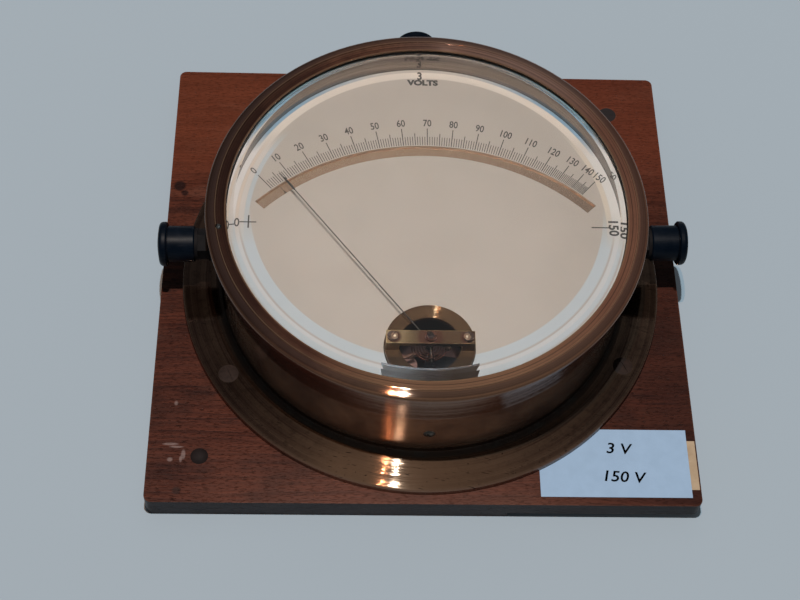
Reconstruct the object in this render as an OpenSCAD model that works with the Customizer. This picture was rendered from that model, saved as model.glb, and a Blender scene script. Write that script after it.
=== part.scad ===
// Round panel voltmeter with two ranges, screwed to a wooden board that lies flat.
// Lengths are in millimetres and angles in degrees.
// Z = 0 is the underside of the board, +Z points out of the dial and +Y points to the scale.
// Heights of the case and of what it holds are counted from the top of the board.

/* [Baseboard] */
// Width of the board, left to right
board_w = 220; // [208:1:280]
// Depth of the board, front to back
board_d = 217; // [212:1:280]
// Thickness of the board
board_t = 11; // [9:0.5:25]
// Radius of the board's four corners
board_corner_r = 3; // [0.5:0.5:8]
// Length of the splinter that is missing along the lower front edge
splinter_l = 77; // [10:1:100]
// Height of the missing splinter
splinter_h = 3; // [0.5:0.5:5]
// Depth of the missing splinter into the board
splinter_d = 4; // [1:0.5:8]

/* [Board fittings] */
// Radius of the domed tack's head
tack_r = 3.5; // [2:0.5:5]
// Rise of the tack's domed head
tack_rise = 1.5; // [0.5:0.1:2]
// Distance of the tack from the board's left edge
tack_from_left = 20.7; // [8:0.1:26]
// Distance of the tack from the board's front edge
tack_from_front = 19.9; // [8:0.1:26]
// Radius of the wooden plug in an old fixing hole
plug_r = 4; // [2:0.5:6]
// Depth of the wooden plug
plug_depth = 8; // [3:0.5:8]
// Distance of the plug from the board's right edge
plug_from_right = 22.5; // [8:0.1:24]
// Distance of the plug from the board's back edge
plug_from_back = 21.2; // [8:0.1:24]
// Width of the paper label
label_w = 60.3; // [20:0.1:64]
// Depth of the paper label
label_d = 29.8; // [10:0.1:30]
// Thickness of the label's paper
label_t = 0.25; // [0.15:0.05:0.5]
// Bare board between the label and the right edge
label_from_right = 3.8; // [1:0.1:8]
// Bare board between the label and the front edge
label_from_front = 3.5; // [1:0.1:8]
// Width of the strip of tape beside the label
tape_w = 3.2; // [1:0.1:3.4]
// Length of the strip of tape
tape_l = 21.5; // [5:0.5:26]
// Thickness of the tape
tape_t = 0.12; // [0.1:0.02:0.3]

/* [Case] */
// Distance of the case's centre in front of the board's centre
case_forward = 3.4; // [0:0.1:4]
// Outer radius of the brass drum
drum_r = 84; // [78:0.1:84.6]
// Thickness of the drum's wall
drum_wall = 1.6; // [1:0.1:1.8]
// Height of the drum
drum_h = 51; // [50.2:0.1:55]
// Width of the mounting flange outside the drum
flange_w = 17.2; // [14:0.1:17.6]
// Thickness of the mounting flange
flange_t = 3.4; // [2:0.1:5]
// Radius of the rounded rim of the flange
flange_edge_r = 1.2; // [0.4:0.1:1.8]
// Rise of the solder fillet between flange and drum
fillet_h = 2.8; // [1:0.1:4]
// Thickness of the plate at the bottom of the drum
base_t = 4; // [3:0.5:6]
// Height of the screws through the side of the drum
side_screw_z = 19; // [14:0.5:22]

/* [Fixing screws] */
// Number of wood screws in the flange
flange_screw_n = 3; // [3:1:3]
// Distance from the flange's edge to the middle of a wood screw
flange_screw_inset = 7.6; // [6:0.1:9]
// Turn of the first wood screw from the back
flange_screw_turn = 2; // [0:1:10]
// Radius of a wood screw's head
flange_head_r = 4.1; // [3:0.1:4.4]
// Radius of a wood screw's shank
flange_shank_r = 1.9; // [1:0.1:2.2]
// Length of a wood screw under the flange
flange_screw_l = 8; // [4:0.5:8.5]
// Radius of a side screw's head
side_head_r = 2.4; // [2:0.1:3.5]
// Radius of a side screw's shank
side_shank_r = 1.4; // [0.8:0.1:1.6]

/* [Bezel and glass] */
// Distance from the drum's outer face in to the window's edge
aperture_inset = 4; // [3.6:0.1:4.4]
// How far the bezel's rim stands out from the drum
rim_overhang = 4.3; // [3:0.1:5]
// Thickness of the bezel's skirt
skirt_wall = 0.8; // [0.6:0.1:1.2]
// Height of the skirt's lower edge above the board
skirt_z = 32.7; // [32.7:0.1:42]
// Thickness of the bezel's lip over the glass
lip_t = 0.6; // [0.5:0.1:1.2]
// Rise of the ridge above the lip
ridge_rise = 0.8; // [0.3:0.1:1.5]
// Distance of the ridge from the window's edge
ridge_w = 4.2; // [3.6:0.1:5]
// Thickness of the rim's edge
rim_t = 0.9; // [0.5:0.1:1.5]
// Drop from the ridge to the rim's edge
rim_drop = 2.0; // [1.2:0.1:2.6]
// Thickness of the glass
glass_t = 2.2; // [1.5:0.1:3]
// Distance from the drum's outer face in to the edge of the glass
glass_inset = 2; // [1.8:0.1:2.6]
// Thickness of the paper ring under the glass
gasket_t = 0.4; // [0.2:0.1:0.8]
// Turn of the bezel's locking screw from the right
lock_turn = 188.6; // [180:0.1:200]
// Radius of the locking screw's head
lock_head_r = 1.2; // [0.8:0.1:1.4]

/* [Dial] */
// Height of the dial's face above the board
dial_z = 41.5; // [41:0.1:42.5]
// Thickness of the dial plate
dial_t = 1; // [0.6:0.1:1.2]
// Distance from the drum's outer face in to the silvered ring's inner face
reflector_inset = 4.5; // [4.4:0.1:5]
// Thickness of the silvered ring
reflector_t = 0.5; // [0.3:0.1:0.6]
// How much the mirror slot's inner radius, about the pivot, exceeds the drum's radius
slot_over = 7.8; // [4:0.1:8.8]
// Width of the mirror slot
slot_w = 5.2; // [3:0.1:5.6]
// Angle of the slot's right end
slot_right_angle = 44.3; // [44:0.1:50]
// Angle of the slot's left end
slot_left_angle = 136; // [130:0.1:136.4]
// Thickness of the mirror
mirror_t = 1.2; // [0.8:0.1:2]
// Margin of the mirror beyond the slot
mirror_margin = 2; // [1:0.1:3]
// Radius of a dial pillar
pillar_r = 3; // [2:0.1:4]
// Distance from the drum's outer face in to the middle of a dial pillar
pillar_inset = 18; // [14:0.5:20]

/* [Movement housing] */
// Sideways place of the pivot
pivot_x = 0.4; // [-1:0.1:1]
// Distance from the drum's outer face in to the pivot
pivot_inset = 25.4; // [25:0.1:26.4]
// Outer radius of the movement's housing
housing_r = 17.5; // [17:0.1:17.6]
// Wall of the movement's housing
housing_wall = 1.4; // [1:0.1:1.6]
// Rise of the housing above the dial
housing_rise = 2.5; // [2:0.1:2.8]
// Thickness of the housing's top
housing_top_t = 1.6; // [1:0.1:2]
// Radius of the opening in the housing's top
opening_r = 11.9; // [11:0.1:12.2]
// Length of the bridge
bridge_l = 34; // [32:0.1:34]
// Width of the bridge
bridge_w = 5.6; // [4.5:0.1:6]
// Thickness of the bridge's bar
bridge_t = 2; // [1.5:0.1:2.2]
// Room for the pointer under the bridge
bridge_gap = 3.5; // [3.3:0.1:3.7]
// Length of each foot of the bridge
bridge_foot_l = 5; // [4:0.1:5.4]
// Radius of a bridge screw's head
bridge_head_r = 2; // [1.5:0.1:2.4]
// Gap between the silvered ring and the bright guard in front of the movement
guard_inset = 6.2; // [5.7:0.1:6.5]
// Thickness of the guard
guard_t = 0.8; // [0.4:0.1:1]
// Height of the guard
guard_h = 6; // [3:0.1:6.4]
// Width of the guard at its top
guard_w = 37; // [30:0.5:38]
// Taper of each end of the guard
guard_taper = 1.5; // [0:0.1:3]

/* [Coil] */
// Radius of the coil's cheeks
cheek_r = 21; // [20.9:0.1:21.4]
// Thickness of the coil's cheeks
cheek_t = 1.6; // [1:0.1:2]
// Height of the coil's bobbin
bobbin_h = 17.6; // [17:0.1:18]
// Radius of the bore through the coil
coil_bore_r = 7; // [6.8:0.1:7.6]
// Wall of the bobbin's core
core_wall = 1.6; // [0.8:0.1:2]
// Outer radius of the main winding
winding_r = 16.4; // [12:0.1:18]
// Thickness of the plate under the coil
foot_plate_t = 3; // [2:0.1:3.4]
// Distance of the tie rods from the pivot
rod_at = 19.2; // [19.2:0.1:19.3]
// Radius of a tie rod
rod_r = 0.9; // [0.6:0.05:1]
// Radius of the small compensating coil's cheeks
small_cheek_r = 4.6; // [4.2:0.1:4.8]
// Height of the small compensating coil
small_coil_h = 12; // [12:0.1:14]
// Radius of the wire on the small coil
small_wire_r = 0.45; // [0.3:0.05:0.45]
// Turns that show on the small coil
small_turns = 7; // [3:1:7]
// Rise of each turn on the small coil
small_pitch = 1.34; // [1.31:0.01:1.34]

/* [Moving system] */
// Radius of the steel spindle
spindle_r = 0.6; // [0.4:0.05:0.8]
// Radius of the boss that carries the pointer
boss_r = 1.6; // [1.2:0.1:2]
// How far the pointer's tip reaches past the mirror slot
pointer_past = 3.3; // [0:0.1:4]
// Radius of the pointer's tube at the boss
pointer_r = 0.36; // [0.25:0.01:0.5]
// Length of the flat blade at the pointer's end
blade_l = 10.8; // [5:0.1:15]
// Height of the pointer's blade
blade_h = 1.7; // [0.8:0.1:2]
// Thickness of the pointer's blade
blade_t = 0.3; // [0.2:0.05:0.5]
// Angle of the pointer as it stands in use
pointer_angle = 127.2; // [124:0.1:129]
// Travel of the pointer down the scale, to its stop
travel_down_angle = 4; // [2:0.5:6]
// Travel of the pointer up the scale, to its stop
travel_up_angle = 81; // [78:0.5:82]
// Reach of the two counterweight arms
tail_l = 8.6; // [6:0.1:9]
// Radius of a counterweight
weight_r = 1.3; // [0.8:0.1:1.5]
// Angle from the pointer back to the damping vane
vane_lag_angle = 149.7; // [146:0.1:150]
// Reach of the damping vane
vane_reach = 13.6; // [10:0.1:13.8]
// Height of the damping vane
vane_h = 8.4; // [5:0.1:8.8]
// Height inside the damping chamber
chamber_h = 10; // [9.6:0.1:10.4]
// Wall of the damping chamber
chamber_wall = 0.9; // [0.6:0.1:1]
// Reach of the moving iron from the spindle
iron_reach = 5.4; // [3:0.1:5.6]
// Length of both irons
iron_l = 12; // [8:0.1:13]
// Turns of the hairspring
hair_turns = 5; // [3:1:5]
// Step of the hairspring from turn to turn
hair_step = 1.05; // [0.95:0.01:1.1]
// Radius of the hairspring's wire
hair_wire_r = 0.25; // [0.15:0.01:0.26]

/* [Terminals] */
// Height of the terminals above the board
terminal_z = 26.5; // [22:0.1:26.5]
// Turn of the three terminals from the board's axes
terminal_turn = 1.1; // [0:0.1:3]
// Radius of a terminal's threaded stud
stud_r = 3; // [2:0.1:3.5]
// Length of the stud inside the drum
stud_inside = 12; // [9:0.5:14]
// Radius of an insulating bush's collar
bush_r = 6.1; // [5.4:0.1:6.1]
// Thickness of an insulating bush's collar
bush_t = 3; // [2:0.1:4]
// Radius of the bush where it passes the drum
bush_neck_r = 4.5; // [4.2:0.1:5]
// Radius of the fixed contact washer
contact_r = 7; // [5:0.1:7.5]
// Thickness of the fixed contact washer
contact_t = 1.4; // [0.8:0.1:2]
// Width across the flats of a terminal nut
nut_af = 11; // [9:0.1:12]
// Thickness of a terminal nut
nut_t = 4.4; // [3:0.1:5]
// Radius of the loose clamp washer
clamp_r = 6.5; // [5:0.1:7]
// Thickness of the loose clamp washer
clamp_t = 1.2; // [0.8:0.1:2]
// Radius of the knob's barrel
barrel_r = 7.4; // [6:0.1:8]
// Length of the knob's barrel
barrel_l = 11.2; // [8:0.1:12]
// Radius of the knob's cap
cap_r = 9.1; // [8:0.1:10]
// Thickness of the knob's cap at its edge
cap_l = 3.3; // [2:0.1:4]
// Rise of the knob's domed end
cap_dome = 0.8; // [0.3:0.1:1.5]

/* [Resistances] */
// Radius of a resistance spool's cheeks
spool_r = 11; // [8:0.5:13]
// Height of a resistance spool
spool_h = 26; // [15:0.5:30]
// Thickness of a spool's cheeks
spool_cheek_t = 2; // [1:0.1:3]
// Radius of a spool's core
spool_core_r = 5; // [4:0.1:7]
// Radius of the lead wires
lead_r = 0.7; // [0.4:0.05:1]

/* [Clearances] */
// Gap between pieces that are pushed together by hand
slip = 0.05; // [0.02:0.01:0.1]
// Gap between pieces that are pressed together
snug = 0.02; // [0.01:0.01:0.05]
// Width of a screw's slot
slot_cut_w = 0.8; // [0.4:0.1:1]
// Depth of a screw's slot
slot_cut_d = 0.5; // [0.3:0.1:0.6]

/* [Hidden] */
$fn = 96;
eps = 0.01;

aperture_r = drum_r - aperture_inset;
glass_r = drum_r - glass_inset;
reflector_r = drum_r - reflector_inset;
pillar_at = drum_r - pillar_inset;
pivot_forward = drum_r - pivot_inset;
guard_r = reflector_r - guard_inset;
slot_in = drum_r + slot_over;
slot_out = slot_in + slot_w;
pointer_l = slot_out + pointer_past;
dial_pin_l = 6;
flange_r = drum_r + flange_w;
drum_in = drum_r - drum_wall;
flange_cone_h = flange_head_r - flange_shank_r;
flange_screw_at = flange_r - flange_screw_inset;
flange_screw_turns = [for (i = [0:flange_screw_n - 1]) 90 + flange_screw_turn + i * 360 / flange_screw_n];
gasket_z = drum_h + reflector_t;
glass_z = gasket_z + gasket_t;
lip_z = glass_z + glass_t;
ridge_r = aperture_r + ridge_w;
ridge_z = lip_z + lip_t + ridge_rise;
rim_r = drum_r + rim_overhang;
skirt_in = drum_r + slip;
skirt_out = skirt_in + skirt_wall;
lock_at = (drum_r + drum_in) / 2;
lock_shank_r = drum_wall * 0.28;
dial_r = (reflector_r + reflector_t + drum_in) / 2;
dial_under = dial_z - dial_t;
mirror_out = slot_out + mirror_margin;
housing_z = dial_z + housing_rise;
bridge_z = housing_z + bridge_gap;
bridge_top = bridge_z + bridge_t;
coil_z = base_t + foot_plate_t;
coil_top = coil_z + bobbin_h;
housing_foot_t = housing_wall;
screw_head_t = 1;
pointer_z = housing_z + bridge_gap * 0.42;
boss_h = 1.9;
boss_z = pointer_z - boss_h / 2;
cup_depth = 0.7;
tip_gap = 0.05;
upper_cup_z = bridge_z - 0.6;
lower_cup_z = coil_z + 1.6;
vane_rest = pointer_angle - vane_lag_angle;
chamber_in = 2.8;
chamber_out = housing_r - housing_wall - 0.7;
chamber_margin_angle = 6.5;
chamber_floor_z = coil_top + chamber_wall;
chamber_start = vane_rest - travel_up_angle - chamber_margin_angle;
chamber_end = vane_rest + travel_down_angle + chamber_margin_angle;
hair_z = housing_z - housing_top_t - 0.4;
collet_r = 1.5;
hair_start_r = collet_r + slip + hair_wire_r;
hair_end_r = hair_start_r + hair_turns * hair_step;
hair_end_turn = 200;
bush_z = drum_r;
contact_z = bush_z + bush_t;
nut_z = contact_z + contact_t;
clamp_z = nut_z + nut_t;
knob_z = clamp_z + clamp_t;
knob_bore_l = 12;
stud_start = drum_in - stud_inside;
stud_end = knob_z + knob_bore_l - 0.6;
ear_t = 2;
ear_out = drum_in - 2 * slip;
ear_angle = 14;
ear_top = side_screw_z + 5;
ear_turns = [-89.3, 30.7, 150.7];
pillar_turns = [45, 135, 210, 330];
rod_turns = [30, 150, 270];
clip_turns = [55, 90, 125];
terminal_turns = [180, 0, 90];
spool_places = [[-34, 26], [34, 26], [0, 46]];
small_coil_place = [-9.2, -5.2];

// Points along an arc about (cx, cy) from angle a to angle b, in n steps
function arc(cx, cy, r, a, b, n) = [
    for (i = [0:n]) let (t = a + (b - a) * i / n) [cx + r * cos(t), cy + r * sin(t)]
];

// Faces of a tube with closed ends, swept as rings of s points each
function tube_faces(rings, s) = concat(
    [[for (j = [0:s - 1]) s - 1 - j]],
    [for (i = [0:rings - 2], j = [0:s - 1], h = [0:1]) let (a = i * s + j, b = i * s + (j + 1) % s)
        h == 0 ? [a, b, b + s] : [a, b + s, a + s]],
    [[for (j = [0:s - 1]) (rings - 1) * s + j]]
);

// One ring of points round p, square to the direction d
function tube_ring(p, d, r, s) = let (
    side = cross(d, [0, 0, 1]) / norm(cross(d, [0, 0, 1])),
    up = cross(side, d) / norm(d)
) [for (j = [0:s - 1]) p + r * (cos(j * 360 / s) * side + sin(j * 360 / s) * up)];

function tube_points(path, r, s) = let (n = len(path)) [
    for (i = [0:n - 1], q = tube_ring(path[i], path[min(i + 1, n - 1)] - path[max(i - 1, 0)], r, s)) q
];

// Path with a straight end of length l added at each end
function with_straight_ends(path, l) = let (
    n = len(path),
    first = (path[0] - path[1]) / norm(path[0] - path[1]),
    last = (path[n - 1] - path[n - 2]) / norm(path[n - 1] - path[n - 2])
) concat([path[0] + l * first], path, [path[n - 1] + l * last]);

// Least distance between parts of a path that lie half a turn or more apart, less the wire's thickness
function least_gap(path, per_turn, r) = min([
    for (i = [0:len(path) - 1], j = [i + per_turn / 2:1:len(path) - 1]) norm(path[i] - path[j])
]) - 2 * r;

module tube(path, r, s) {
    polyhedron(tube_points(path, r, s), tube_faces(len(path), s));
}

module at_case() translate([0, -case_forward, board_t]) children();

module at_pivot() at_case() translate([pivot_x, -pivot_forward, 0]) children();

// A terminal's own frame, z along its stud and 0 on the axis of the case
module at_terminal(turn) {
    at_case() rotate([0, 0, terminal_turn + turn]) translate([0, 0, terminal_z]) rotate([0, 90, 0]) children();
}

module turned(turns) for (t = turns) rotate([0, 0, t]) children();

module ring(r_in, r_out, h) {
    rotate_extrude() translate([r_in, 0]) square([r_out - r_in, h]);
}

module ring_sector(r_in, r_out, h, start, end) {
    rotate([0, 0, start]) rotate_extrude(angle = end - start) translate([r_in, 0]) square([r_out - r_in, h]);
}

// Domed round head that rises from z = 0
module dome(r, h) {
    ball_r = (r * r + h * h) / (2 * h);
    intersection() {
        cylinder(r = r, h = h);
        translate([0, 0, h - ball_r]) sphere(r = ball_r);
    }
}

module slot_cut(r, top, turn) {
    rotate([0, 0, turn]) translate([-r - 1, -slot_cut_w / 2, top - slot_cut_d])
        cube([2 * r + 2, slot_cut_w, slot_cut_d + 1]);
}

// Slotted cheese-head screw, head up from z = 0 and shank down
module cheese_screw(head_r, head_h, shank_r, shank_l, turn) {
    difference() {
        union() {
            cylinder(r = head_r, h = head_h);
            translate([0, 0, -shank_l]) cylinder(r = shank_r, h = shank_l + eps);
        }
        slot_cut(head_r, head_h, turn);
    }
}

// Cone that ends in a point at z = 0 and opens downward over the length l
module tip(r, l) {
    translate([0, 0, -l]) cylinder(r1 = r, r2 = 0.05, h = l);
}

module baseboard() color("#6e3a28") {
    difference() {
        translate([-board_w / 2, -board_d / 2, 0]) union() {
            translate([board_corner_r, 0, 0]) cube([board_w - 2 * board_corner_r, board_d, board_t]);
            translate([0, board_corner_r, 0]) cube([board_w, board_d - 2 * board_corner_r, board_t]);
            for (x = [board_corner_r, board_w - board_corner_r], y = [board_corner_r, board_d - board_corner_r])
                translate([x, y, 0]) cylinder(r = board_corner_r, h = board_t);
        }
        translate([board_w / 2 - splinter_l, -board_d / 2 - 1, -1])
            cube([splinter_l + 1, splinter_d + 1, splinter_h + 1]);
        at_plug() cylinder(r = plug_r + snug, h = plug_depth + 1);
        at_tack() translate([0, 0, -6.5]) cylinder(r = 0.9 + snug, h = 8);
        at_case() turned(flange_screw_turns) translate([flange_screw_at, 0, -flange_screw_l - 0.5])
            cylinder(r = flange_shank_r + snug, h = flange_screw_l + 1);
    }
}

module at_plug() {
    translate([board_w / 2 - plug_from_right, board_d / 2 - plug_from_back, board_t - plug_depth]) children();
}

module at_tack() translate([tack_from_left - board_w / 2, tack_from_front - board_d / 2, board_t]) children();

module board_plug() color("#2f1812") {
    at_plug() cylinder(r = plug_r, h = plug_depth);
}

module board_tack() color("#2b2726") {
    at_tack() {
        dome(tack_r, tack_rise);
        translate([0, 0, -6]) cylinder(r = 0.9, h = 6 + eps);
    }
}

module paper_label() color("#9db0bf") {
    difference() {
        translate([board_w / 2 - label_from_right - label_w, label_from_front - board_d / 2, board_t])
            cube([label_w, label_d, label_t]);
        at_case() translate([0, 0, -1]) cylinder(r = flange_r + slip, h = 4);
    }
}

module label_tape() color("#b9a488") {
    translate([board_w / 2 - label_from_right + slip, label_from_front + 3.5 - board_d / 2, board_t])
        cube([tape_w, tape_l, tape_t]);
}

module mounting_flange() color("#5d4030") {
    r0 = drum_r + slip;
    at_case() difference() {
        rotate_extrude() polygon(concat(
            [[r0, 0], [flange_r, 0]],
            arc(flange_r - flange_edge_r, flange_t - flange_edge_r, flange_edge_r, 0, 90, 6),
            arc(r0 + fillet_h + 0.6, flange_t + fillet_h, fillet_h, 270, 180, 6),
            [[r0, flange_t + fillet_h]]
        ));
        turned(flange_screw_turns) translate([flange_screw_at, 0, 0]) flange_screw_hole();
    }
}

module flange_screw_hole() {
    translate([0, 0, -1]) cylinder(r = flange_shank_r + slip, h = flange_t + 2);
    translate([0, 0, flange_t - flange_cone_h])
        cylinder(r1 = flange_shank_r + slip, r2 = flange_head_r + slip, h = flange_cone_h);
    translate([0, 0, flange_t - eps]) cylinder(r = flange_head_r + slip, h = 1);
}

module flange_screws() color("#8d7a66") {
    crown = 0.5;
    at_case() for (t = flange_screw_turns) rotate([0, 0, t]) translate([flange_screw_at, 0, flange_t]) {
        difference() {
            rotate_extrude() polygon(concat(
                [[0, -flange_t - flange_screw_l], [flange_shank_r, -flange_t - flange_screw_l]],
                [[flange_shank_r, -flange_cone_h], [flange_head_r, 0]],
                [for (i = [1:5]) [flange_head_r * (1 - i / 5), crown * (1 - pow(1 - i / 5, 2))]]
            ));
            slot_cut(flange_head_r, crown, t * 2 + 20);
        }
    }
}

module case_drum() color("#4a3628") {
    at_case() difference() {
        ring(drum_in, drum_r, drum_h);
        for (t = terminal_turns) rotate([0, 0, terminal_turn + t]) translate([drum_in - 2, 0, terminal_z])
            rotate([0, 90, 0]) cylinder(r = bush_neck_r + slip, h = drum_wall + 4);
        side_screw_places() translate([0, 0, -drum_wall - 2])
            cylinder(r = side_shank_r + slip, h = drum_wall + 4);
        lock_screw_place() translate([0, 0, -8]) cylinder(r = lock_shank_r + snug, h = 10);
    }
}

// Places of the side screws, local z pointing out of the drum and starting at its outer face
module side_screw_places() {
    for (t = ear_turns) rotate([0, 0, t]) translate([drum_r, 0, side_screw_z]) rotate([0, 90, 0]) children();
}

// Place of the bezel's locking screw, local z pointing up from the drum's rim
module lock_screw_place() {
    rotate([0, 0, lock_turn]) translate([lock_at, 0, drum_h]) children();
}

module base_plate() color("#3d3a38") {
    at_case() difference() {
        union() {
            cylinder(r = drum_in - slip, h = base_t);
            for (t = ear_turns) translate([0, 0, base_t / 2])
                ring_sector(ear_out - ear_t, ear_out, ear_top - base_t / 2, t - ear_angle / 2, t + ear_angle / 2);
        }
        side_screw_places() translate([0, 0, -drum_wall - ear_t - 3])
            cylinder(r = side_shank_r + slip, h = ear_t + 6);
        translate([pivot_x, -pivot_forward, -1]) {
            cylinder(r = 2.6, h = base_t + 2);
            turned(rod_turns) translate([rod_at, 0, 0]) cylinder(r = rod_r + slip, h = base_t + 2);
        }
        for (p = spool_places) translate([p[0], p[1], -1]) cylinder(r = 1.6 + slip, h = base_t + 2);
    }
}

module side_screws() color("#6f604f") {
    at_case() side_screw_places() {
        difference() {
            dome(side_head_r, 1);
            slot_cut(side_head_r, 1, 30);
        }
        translate([0, 0, -drum_wall - ear_t - 1]) cylinder(r = side_shank_r, h = drum_wall + ear_t + 1 + eps);
    }
}

module bezel_ring() color("#5b3423") {
    shoulder_z = ridge_z - rim_drop;
    roll_w = rim_r - ridge_r;
    bead_r = 0.35;
    roll = [for (i = [0:8]) let (t = i * 90 / 8)
        [ridge_r + bead_r + (roll_w - bead_r) * sin(t), shoulder_z + (rim_drop - bead_r) * cos(t)]];
    at_case() difference() {
        rotate_extrude() polygon(concat(
            [[aperture_r, lip_z], [aperture_r, lip_z + lip_t]],
            [[ridge_r - bead_r, ridge_z - bead_r]],
            arc(ridge_r, ridge_z - bead_r, bead_r, 150, 20, 4),
            roll,
            [[rim_r, shoulder_z - rim_t], [rim_r - 1.4, shoulder_z - rim_t - 0.5]],
            [[skirt_out, shoulder_z - rim_t - 2.2]],
            [[skirt_out, skirt_z + 0.3], [skirt_out - 0.3, skirt_z], [skirt_in, skirt_z], [skirt_in, lip_z]]
        ));
        lock_screw_place() cylinder(r = lock_shank_r + slip, h = 10);
        lock_screw_place() translate([0, 0, ridge_z - drum_h - 0.5]) cylinder(r = lock_head_r + slip, h = 2);
    }
}

module bezel_lock_screw() color("#6a6f74") {
    at_case() lock_screw_place() translate([0, 0, ridge_z - drum_h - 0.5]) difference() {
        union() {
            dome(lock_head_r, 0.6);
            translate([0, 0, drum_h - ridge_z - 7])
                cylinder(r = lock_shank_r, h = ridge_z - drum_h + 7 + eps);
        }
        slot_cut(lock_head_r, 0.75, 70);
    }
}

module window_glass() color([0.85, 0.9, 0.92, 0.3]) {
    at_case() translate([0, 0, glass_z]) cylinder(r = glass_r, h = glass_t);
}

module glass_gasket() color("#8f8168") {
    at_case() translate([0, 0, gasket_z]) ring(aperture_r + 0.5, glass_r, gasket_t);
}

module reflector_ring() color("#c9c6bf") {
    at_case() difference() {
        rotate_extrude() polygon([
            [reflector_r, dial_z], [reflector_r + reflector_t, dial_z], [reflector_r + reflector_t, drum_h],
            [drum_r - 0.2, drum_h], [drum_r - 0.2, gasket_z], [reflector_r, gasket_z]
        ]);
        lock_screw_place() translate([0, 0, -1]) cylinder(r = lock_shank_r + slip, h = reflector_t + 2);
    }
}

module dial_plate() color("#b9b0a4") {
    difference() {
        union() {
            at_case() translate([0, 0, dial_under]) cylinder(r = dial_r, h = dial_t);
            at_case() turned(pillar_turns) translate([pillar_at, 0, dial_under - dial_pin_l])
                cylinder(r = pillar_r * 0.4, h = dial_pin_l + eps);
        }
        at_pivot() translate([0, 0, dial_under - 1]) {
            cylinder(r = housing_r + 0.3, h = dial_t + 2);
            ring_sector(slot_in, slot_out, dial_t + 2, slot_right_angle, slot_left_angle);
        }
    }
}

module dial_pillars() color("#a58a55") {
    at_case() turned(pillar_turns) translate([pillar_at, 0, base_t]) difference() {
        union() {
            cylinder(r = pillar_r, h = dial_under - base_t);
            cylinder(r = pillar_r + 1.5, h = 2.5, $fn = 6);
        }
        translate([0, 0, dial_under - base_t - dial_pin_l - 0.5])
            cylinder(r = pillar_r * 0.4 + slip, h = dial_pin_l + 1);
    }
}

module mirror_strip() color("#a89484") {
    at_pivot() translate([0, 0, dial_under - mirror_t])
        ring_sector(slot_in - mirror_margin, mirror_out, mirror_t, slot_right_angle - 1.2, slot_left_angle + 1.2);
}

module mirror_clips() color("#a58a55") {
    clip_w = 5;
    clip_t = 0.7;
    at_pivot() for (t = clip_turns) rotate([0, 0, t]) {
        translate([slot_in, -clip_w / 2, dial_under - mirror_t - clip_t])
            cube([mirror_out + 4 - slot_in, clip_w, clip_t]);
        translate([mirror_out + slip, -clip_w / 2, dial_under - mirror_t - clip_t])
            cube([4 - slip, clip_w, mirror_t + clip_t]);
    }
}

module movement_housing() color("#8a6a45") {
    inner_r = housing_r - housing_wall;
    at_pivot() difference() {
        union() {
            translate([0, 0, coil_top]) ring(inner_r, housing_r, housing_z - coil_top);
            translate([0, 0, housing_z - housing_top_t]) ring(opening_r, housing_r, housing_top_t);
            translate([0, 0, coil_top]) ring(inner_r, cheek_r, housing_foot_t);
        }
        turned(rod_turns) translate([rod_at, 0, coil_top - 1])
            cylinder(r = rod_r + slip, h = housing_foot_t + 2);
        bridge_screw_places() translate([0, 0, -4]) cylinder(r = 0.9 + snug, h = 5);
        guard_rivet_place() translate([0, 0, -2.5]) cylinder(r = 0.6 + snug, h = 4);
    }
}

// Places of the two bridge screws, on the top of the housing
module bridge_screw_places() {
    for (s = [-1, 1]) translate([s * (bridge_l - bridge_foot_l) / 2, 0, housing_z]) children();
}

// Place of the rivet that holds the guard, on the top of the housing
module guard_rivet_place() {
    translate([-pivot_x, pivot_forward - guard_r + guard_t + 0.9, housing_z]) children();
}

module movement_guard() color("#7f8c94") {
    half_top = guard_w / 2;
    half_foot = half_top - guard_taper;
    at_case() {
        difference() {
            union() {
                intersection() {
                    translate([0, 0, housing_z]) ring(guard_r - guard_t, guard_r, guard_h);
                    translate([0, 0, housing_z]) rotate([90, 0, 0]) linear_extrude(guard_r + 5)
                        polygon([[-half_foot, 0], [half_foot, 0], [half_top, guard_h], [-half_top, guard_h]]);
                }
                translate([-4, -guard_r + guard_t / 2, housing_z]) cube([8, guard_t / 2 + 1.8, 0.6]);
            }
            translate([0, -guard_r + guard_t + 0.9, housing_z - 1]) cylinder(r = 0.6 + snug, h = 3);
        }
    }
    at_pivot() guard_rivet_place() {
        translate([0, 0, -2]) cylinder(r = 0.6, h = 2.6 + eps);
        translate([0, 0, 0.6]) dome(0.85, 0.4);
    }
}

module pivot_bridge() color("#9a7b4c") {
    at_pivot() difference() {
        union() {
            translate([-bridge_l / 2, -bridge_w / 2, bridge_z]) cube([bridge_l, bridge_w, bridge_t]);
            for (x = [-bridge_l / 2, bridge_l / 2 - bridge_foot_l]) translate([x, -bridge_w / 2, housing_z])
                cube([bridge_foot_l, bridge_w, bridge_gap + eps]);
        }
        translate([0, 0, bridge_z - 1]) cylinder(r = 1.3 + snug, h = bridge_t + 2);
        bridge_screw_places() cylinder(r = 0.9 + snug, h = bridge_gap + bridge_t + 1);
    }
}

module bridge_screws() color("#7d6a50") {
    at_pivot() bridge_screw_places() translate([0, 0, bridge_gap + bridge_t])
        cheese_screw(bridge_head_r, screw_head_t, 0.9, bridge_gap + bridge_t + 3, 60);
}

module upper_pivot_screw() color("#5b544e") {
    at_pivot() difference() {
        translate([0, 0, upper_cup_z]) cylinder(r = 1.3, h = bridge_top + 1.4 - upper_cup_z);
        slot_cut(1.3, bridge_top + 1.4, 25);
        translate([0, 0, upper_cup_z - eps]) cylinder(r1 = cup_depth, r2 = 0.02, h = cup_depth);
    }
}

module pivot_lock_nut() color("#6f5d45") {
    at_pivot() translate([0, 0, bridge_top]) ring(1.3 + snug, 2.2, screw_head_t);
}

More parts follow.
